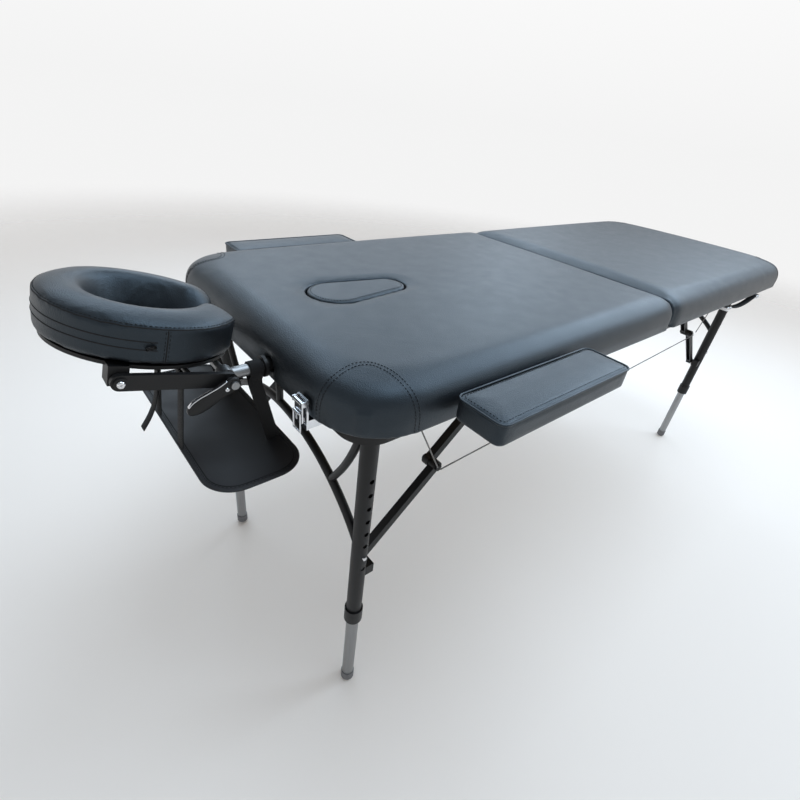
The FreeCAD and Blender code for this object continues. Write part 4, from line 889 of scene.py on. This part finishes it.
# half width of the leaf at places along it
LEAF = ((-0.0105, 0.003), (-0.0080, 0.0075), (-0.0030, 0.0105), (0.0060, 0.0108), (0.0200, 0.0100),
        (0.0340, 0.0110), (0.0480, 0.0122), (0.0600, 0.0115), (0.0680, 0.0085), (0.0725, 0.0045),
        (0.0738, 0.0015))


def lever_point(along, up, out=0.0):
    x = SHAFT_X - along * math.cos(LEVER_LEAN) - up * math.sin(LEVER_LEAN)
    z = DOWEL_Z - along * math.sin(LEVER_LEAN) + up * math.cos(LEVER_LEAN)
    return at(x, LEVER_Y - out, z)


def leaf_mesh():
    points = []
    for along, half in LEAF:
        for n in range(LEAF_RING):
            angle = 2 * math.pi * n / LEAF_RING
            up = half * math.copysign(abs(math.cos(angle)) ** 0.7, math.cos(angle))
            out = LEAF_THICK / 2 * math.copysign(abs(math.sin(angle)) ** 0.6, math.sin(angle))
            points.append(lever_point(along, up, out))
    return built("lever_leaf", points, ring_faces(len(LEAF), LEAF_RING))


leaf = divided(linked("lever_leaf", leaf_mesh()), 2)
finished(leaf, MATERIALS["black_plastic"], "cradle_cam")
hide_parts("cradle_lever")
trim_path = smooth_path([lever_point(along, half + 0.0006, 0.002) for along, half in LEAF[3:9]], 0.003)
trim = swept("lever_trim", trim_path, [Vector((0, 1, 0))] * len(trim_path), flat_section(0.0060, 0.0018))
finished(linked("lever_trim", trim), MATERIALS["chrome"], "cradle_cam")


# Small fastenings

ARM_OUTSIDE = 0.127
# a domed head with a socket: shares of its radius
SCREW_HEAD = ((1.0, 0.0), (1.0, 0.3), (0.75, 0.62), (0.3, 0.7), (0.2, 0.42))


def screw(name, body, spot, axis, radius):
    head = turned(name, [(radius * wide, radius * high) for wide, high in SCREW_HEAD], spot, axis)
    finished(linked(name, head), MATERIALS["chrome"], body)


screw("lever_screw", "cradle_cam", lever_point(0.012, 0.0, 0.0040), (0, -1, 0), 0.0034)
for place, sign in SIDES.items():
    spot = at(RIVET_X, sign * ARM_OUTSIDE, RIVET_Z)
    screw(f"arm_screw_{place}", "cradle_arm_pair", spot, (0, sign, 0), 0.0052)


# Camera at the photograph's place

CAMERA_PLACE = at(-1.2056, -0.7073, 1.0933)
FOCAL_PIXELS, IMAGE_PIXELS, SENSOR = 465.5, 800, 36.0
YAW, PITCH, ROLL = math.radians(46.447), math.radians(31.995), math.radians(7.674)
forward = Vector((math.cos(YAW) * math.cos(PITCH), math.sin(YAW) * math.cos(PITCH), -math.sin(PITCH)))
right = Vector((math.sin(YAW), -math.cos(YAW), 0))
up = right.cross(forward)
camera_x = right * math.cos(ROLL) + up * math.sin(ROLL)
camera_y = up * math.cos(ROLL) - right * math.sin(ROLL)
camera_data = bpy.data.cameras.new("camera")
camera_data.sensor_width = SENSOR
camera_data.lens = FOCAL_PIXELS / IMAGE_PIXELS * SENSOR
camera_data.clip_start = 0.05
camera = bpy.data.objects.new("camera", camera_data)
scene.collection.objects.link(camera)
turn = Matrix((camera_x, camera_y, -forward)).transposed().to_4x4()
camera.matrix_world = Matrix.Translation(CAMERA_PLACE) @ turn
scene.camera = camera


# Floor, lamps and surroundings

FLOOR_COLOR, FLOOR_REACH = (0.94, 0.865, 0.80), 9.0
FADE_START, FADE_END = 0.35, 0.90
# colour of the studio by the sine of the height above the horizon
STUDIO = ((0.0, (0.90, 0.90, 0.90)), (0.19, (0.95, 0.95, 0.95)), (0.36, (0.33, 0.36, 0.39)),
          (0.62, (0.33, 0.36, 0.39)), (0.80, (0.40, 0.42, 0.44)), (1.0, (0.45, 0.47, 0.49)))
WINDOW_TINT = (0.70, 0.85, 1.0)


def floor():
    """A round pale floor that fades into the wall of the studio."""
    mesh = turned("floor", ((FLOOR_REACH, -0.02), (FLOOR_REACH, 0.0)), (0, 0, 0), (0, 0, 1), 96)
    thing = linked("floor", mesh)
    material, tree, main = shader("studio_floor", FLOOR_COLOR, 0.95, Specular_IOR_Level=0.0)
    share = 1 / FLOOR_REACH
    fade = texture(tree, "ShaderNodeTexGradient", (share, share, share))
    fade.gradient_type = "SPHERICAL"
    span = tree.nodes.new("ShaderNodeMapRange")
    span.interpolation_type = "SMOOTHSTEP"
    span.inputs["From Min"].default_value = FADE_START
    span.inputs["From Max"].default_value = FADE_END
    tree.links.new(fade.outputs["Fac"], span.inputs["Value"])
    tree.links.new(span.outputs["Result"], main.inputs["Alpha"])
    mesh.materials.append(material)


def lamp(name, strength, angle, direction):
    data = bpy.data.lights.new(name, "SUN")
    data.energy = strength
    data.angle = math.radians(angle)
    thing = bpy.data.objects.new(name, data)
    scene.collection.objects.link(thing)
    thing.rotation_euler = Vector(direction).to_track_quat("-Z", "Y").to_euler()


def softbox(name, radiance, size, place, target):
    """A rectangular lamp that shows in glossy surfaces but not to the camera."""
    data = bpy.data.lights.new(name, "AREA")
    data.shape = "RECTANGLE"
    data.size, data.size_y = size
    data.energy = radiance * math.pi * size[0] * size[1]
    data.color = WINDOW_TINT
    thing = bpy.data.objects.new(name, data)
    scene.collection.objects.link(thing)
    thing.location = place
    thing.rotation_euler = (target - place).to_track_quat("-Z", "Y").to_euler()
    thing.visible_camera = False


def surroundings():
    """A pale wall round the horizon, a dimmer band above it and a soft ceiling."""
    world = bpy.data.worlds.new("studio")
    scene.world = world
    world.use_nodes = True
    tree = world.node_tree
    place = tree.nodes.new("ShaderNodeTexCoord")
    parts = tree.nodes.new("ShaderNodeSeparateXYZ")
    tree.links.new(place.outputs["Generated"], parts.inputs["Vector"])
    ramp = tree.nodes.new("ShaderNodeValToRGB")
    stops = ramp.color_ramp.elements
    while len(stops) < len(STUDIO):
        stops.new(1.0)
    for stop, (height, color) in zip(stops, STUDIO):
        stop.position = height
        stop.color = (*color, 1)
    tree.links.new(parts.outputs["Z"], ramp.inputs["Fac"])
    tree.links.new(ramp.outputs["Color"], tree.nodes["Background"].inputs["Color"])


floor()
lamp("fill", 0.06, 90, (0.9, 0.6, -0.8))
softbox("ceiling", 3.8, (2.2, 1.4), at(-0.10, -0.45, 3.30), at(-0.5, -0.40, 0.79))
softbox("window", 1.9, (2.6, 1.2), at(0.85, 1.90, 2.10), at(-0.7, -0.2, 0.79))
softbox("back_window", 3.2, (1.8, 1.4), at(-0.60, 2.30, 2.90), at(-1.08, -0.05, 0.85))
softbox("high_window", 2.2, (1.8, 1.0), at(1.85, 0.74, 2.09), at(-0.6, -0.4, 0.77))
softbox("side_window", 5.4, (2.8, 1.8), at(2.90, -0.75, 3.00), at(-0.4, -0.34, 0.77))
surroundings()
scene.view_settings.view_transform = "Standard"
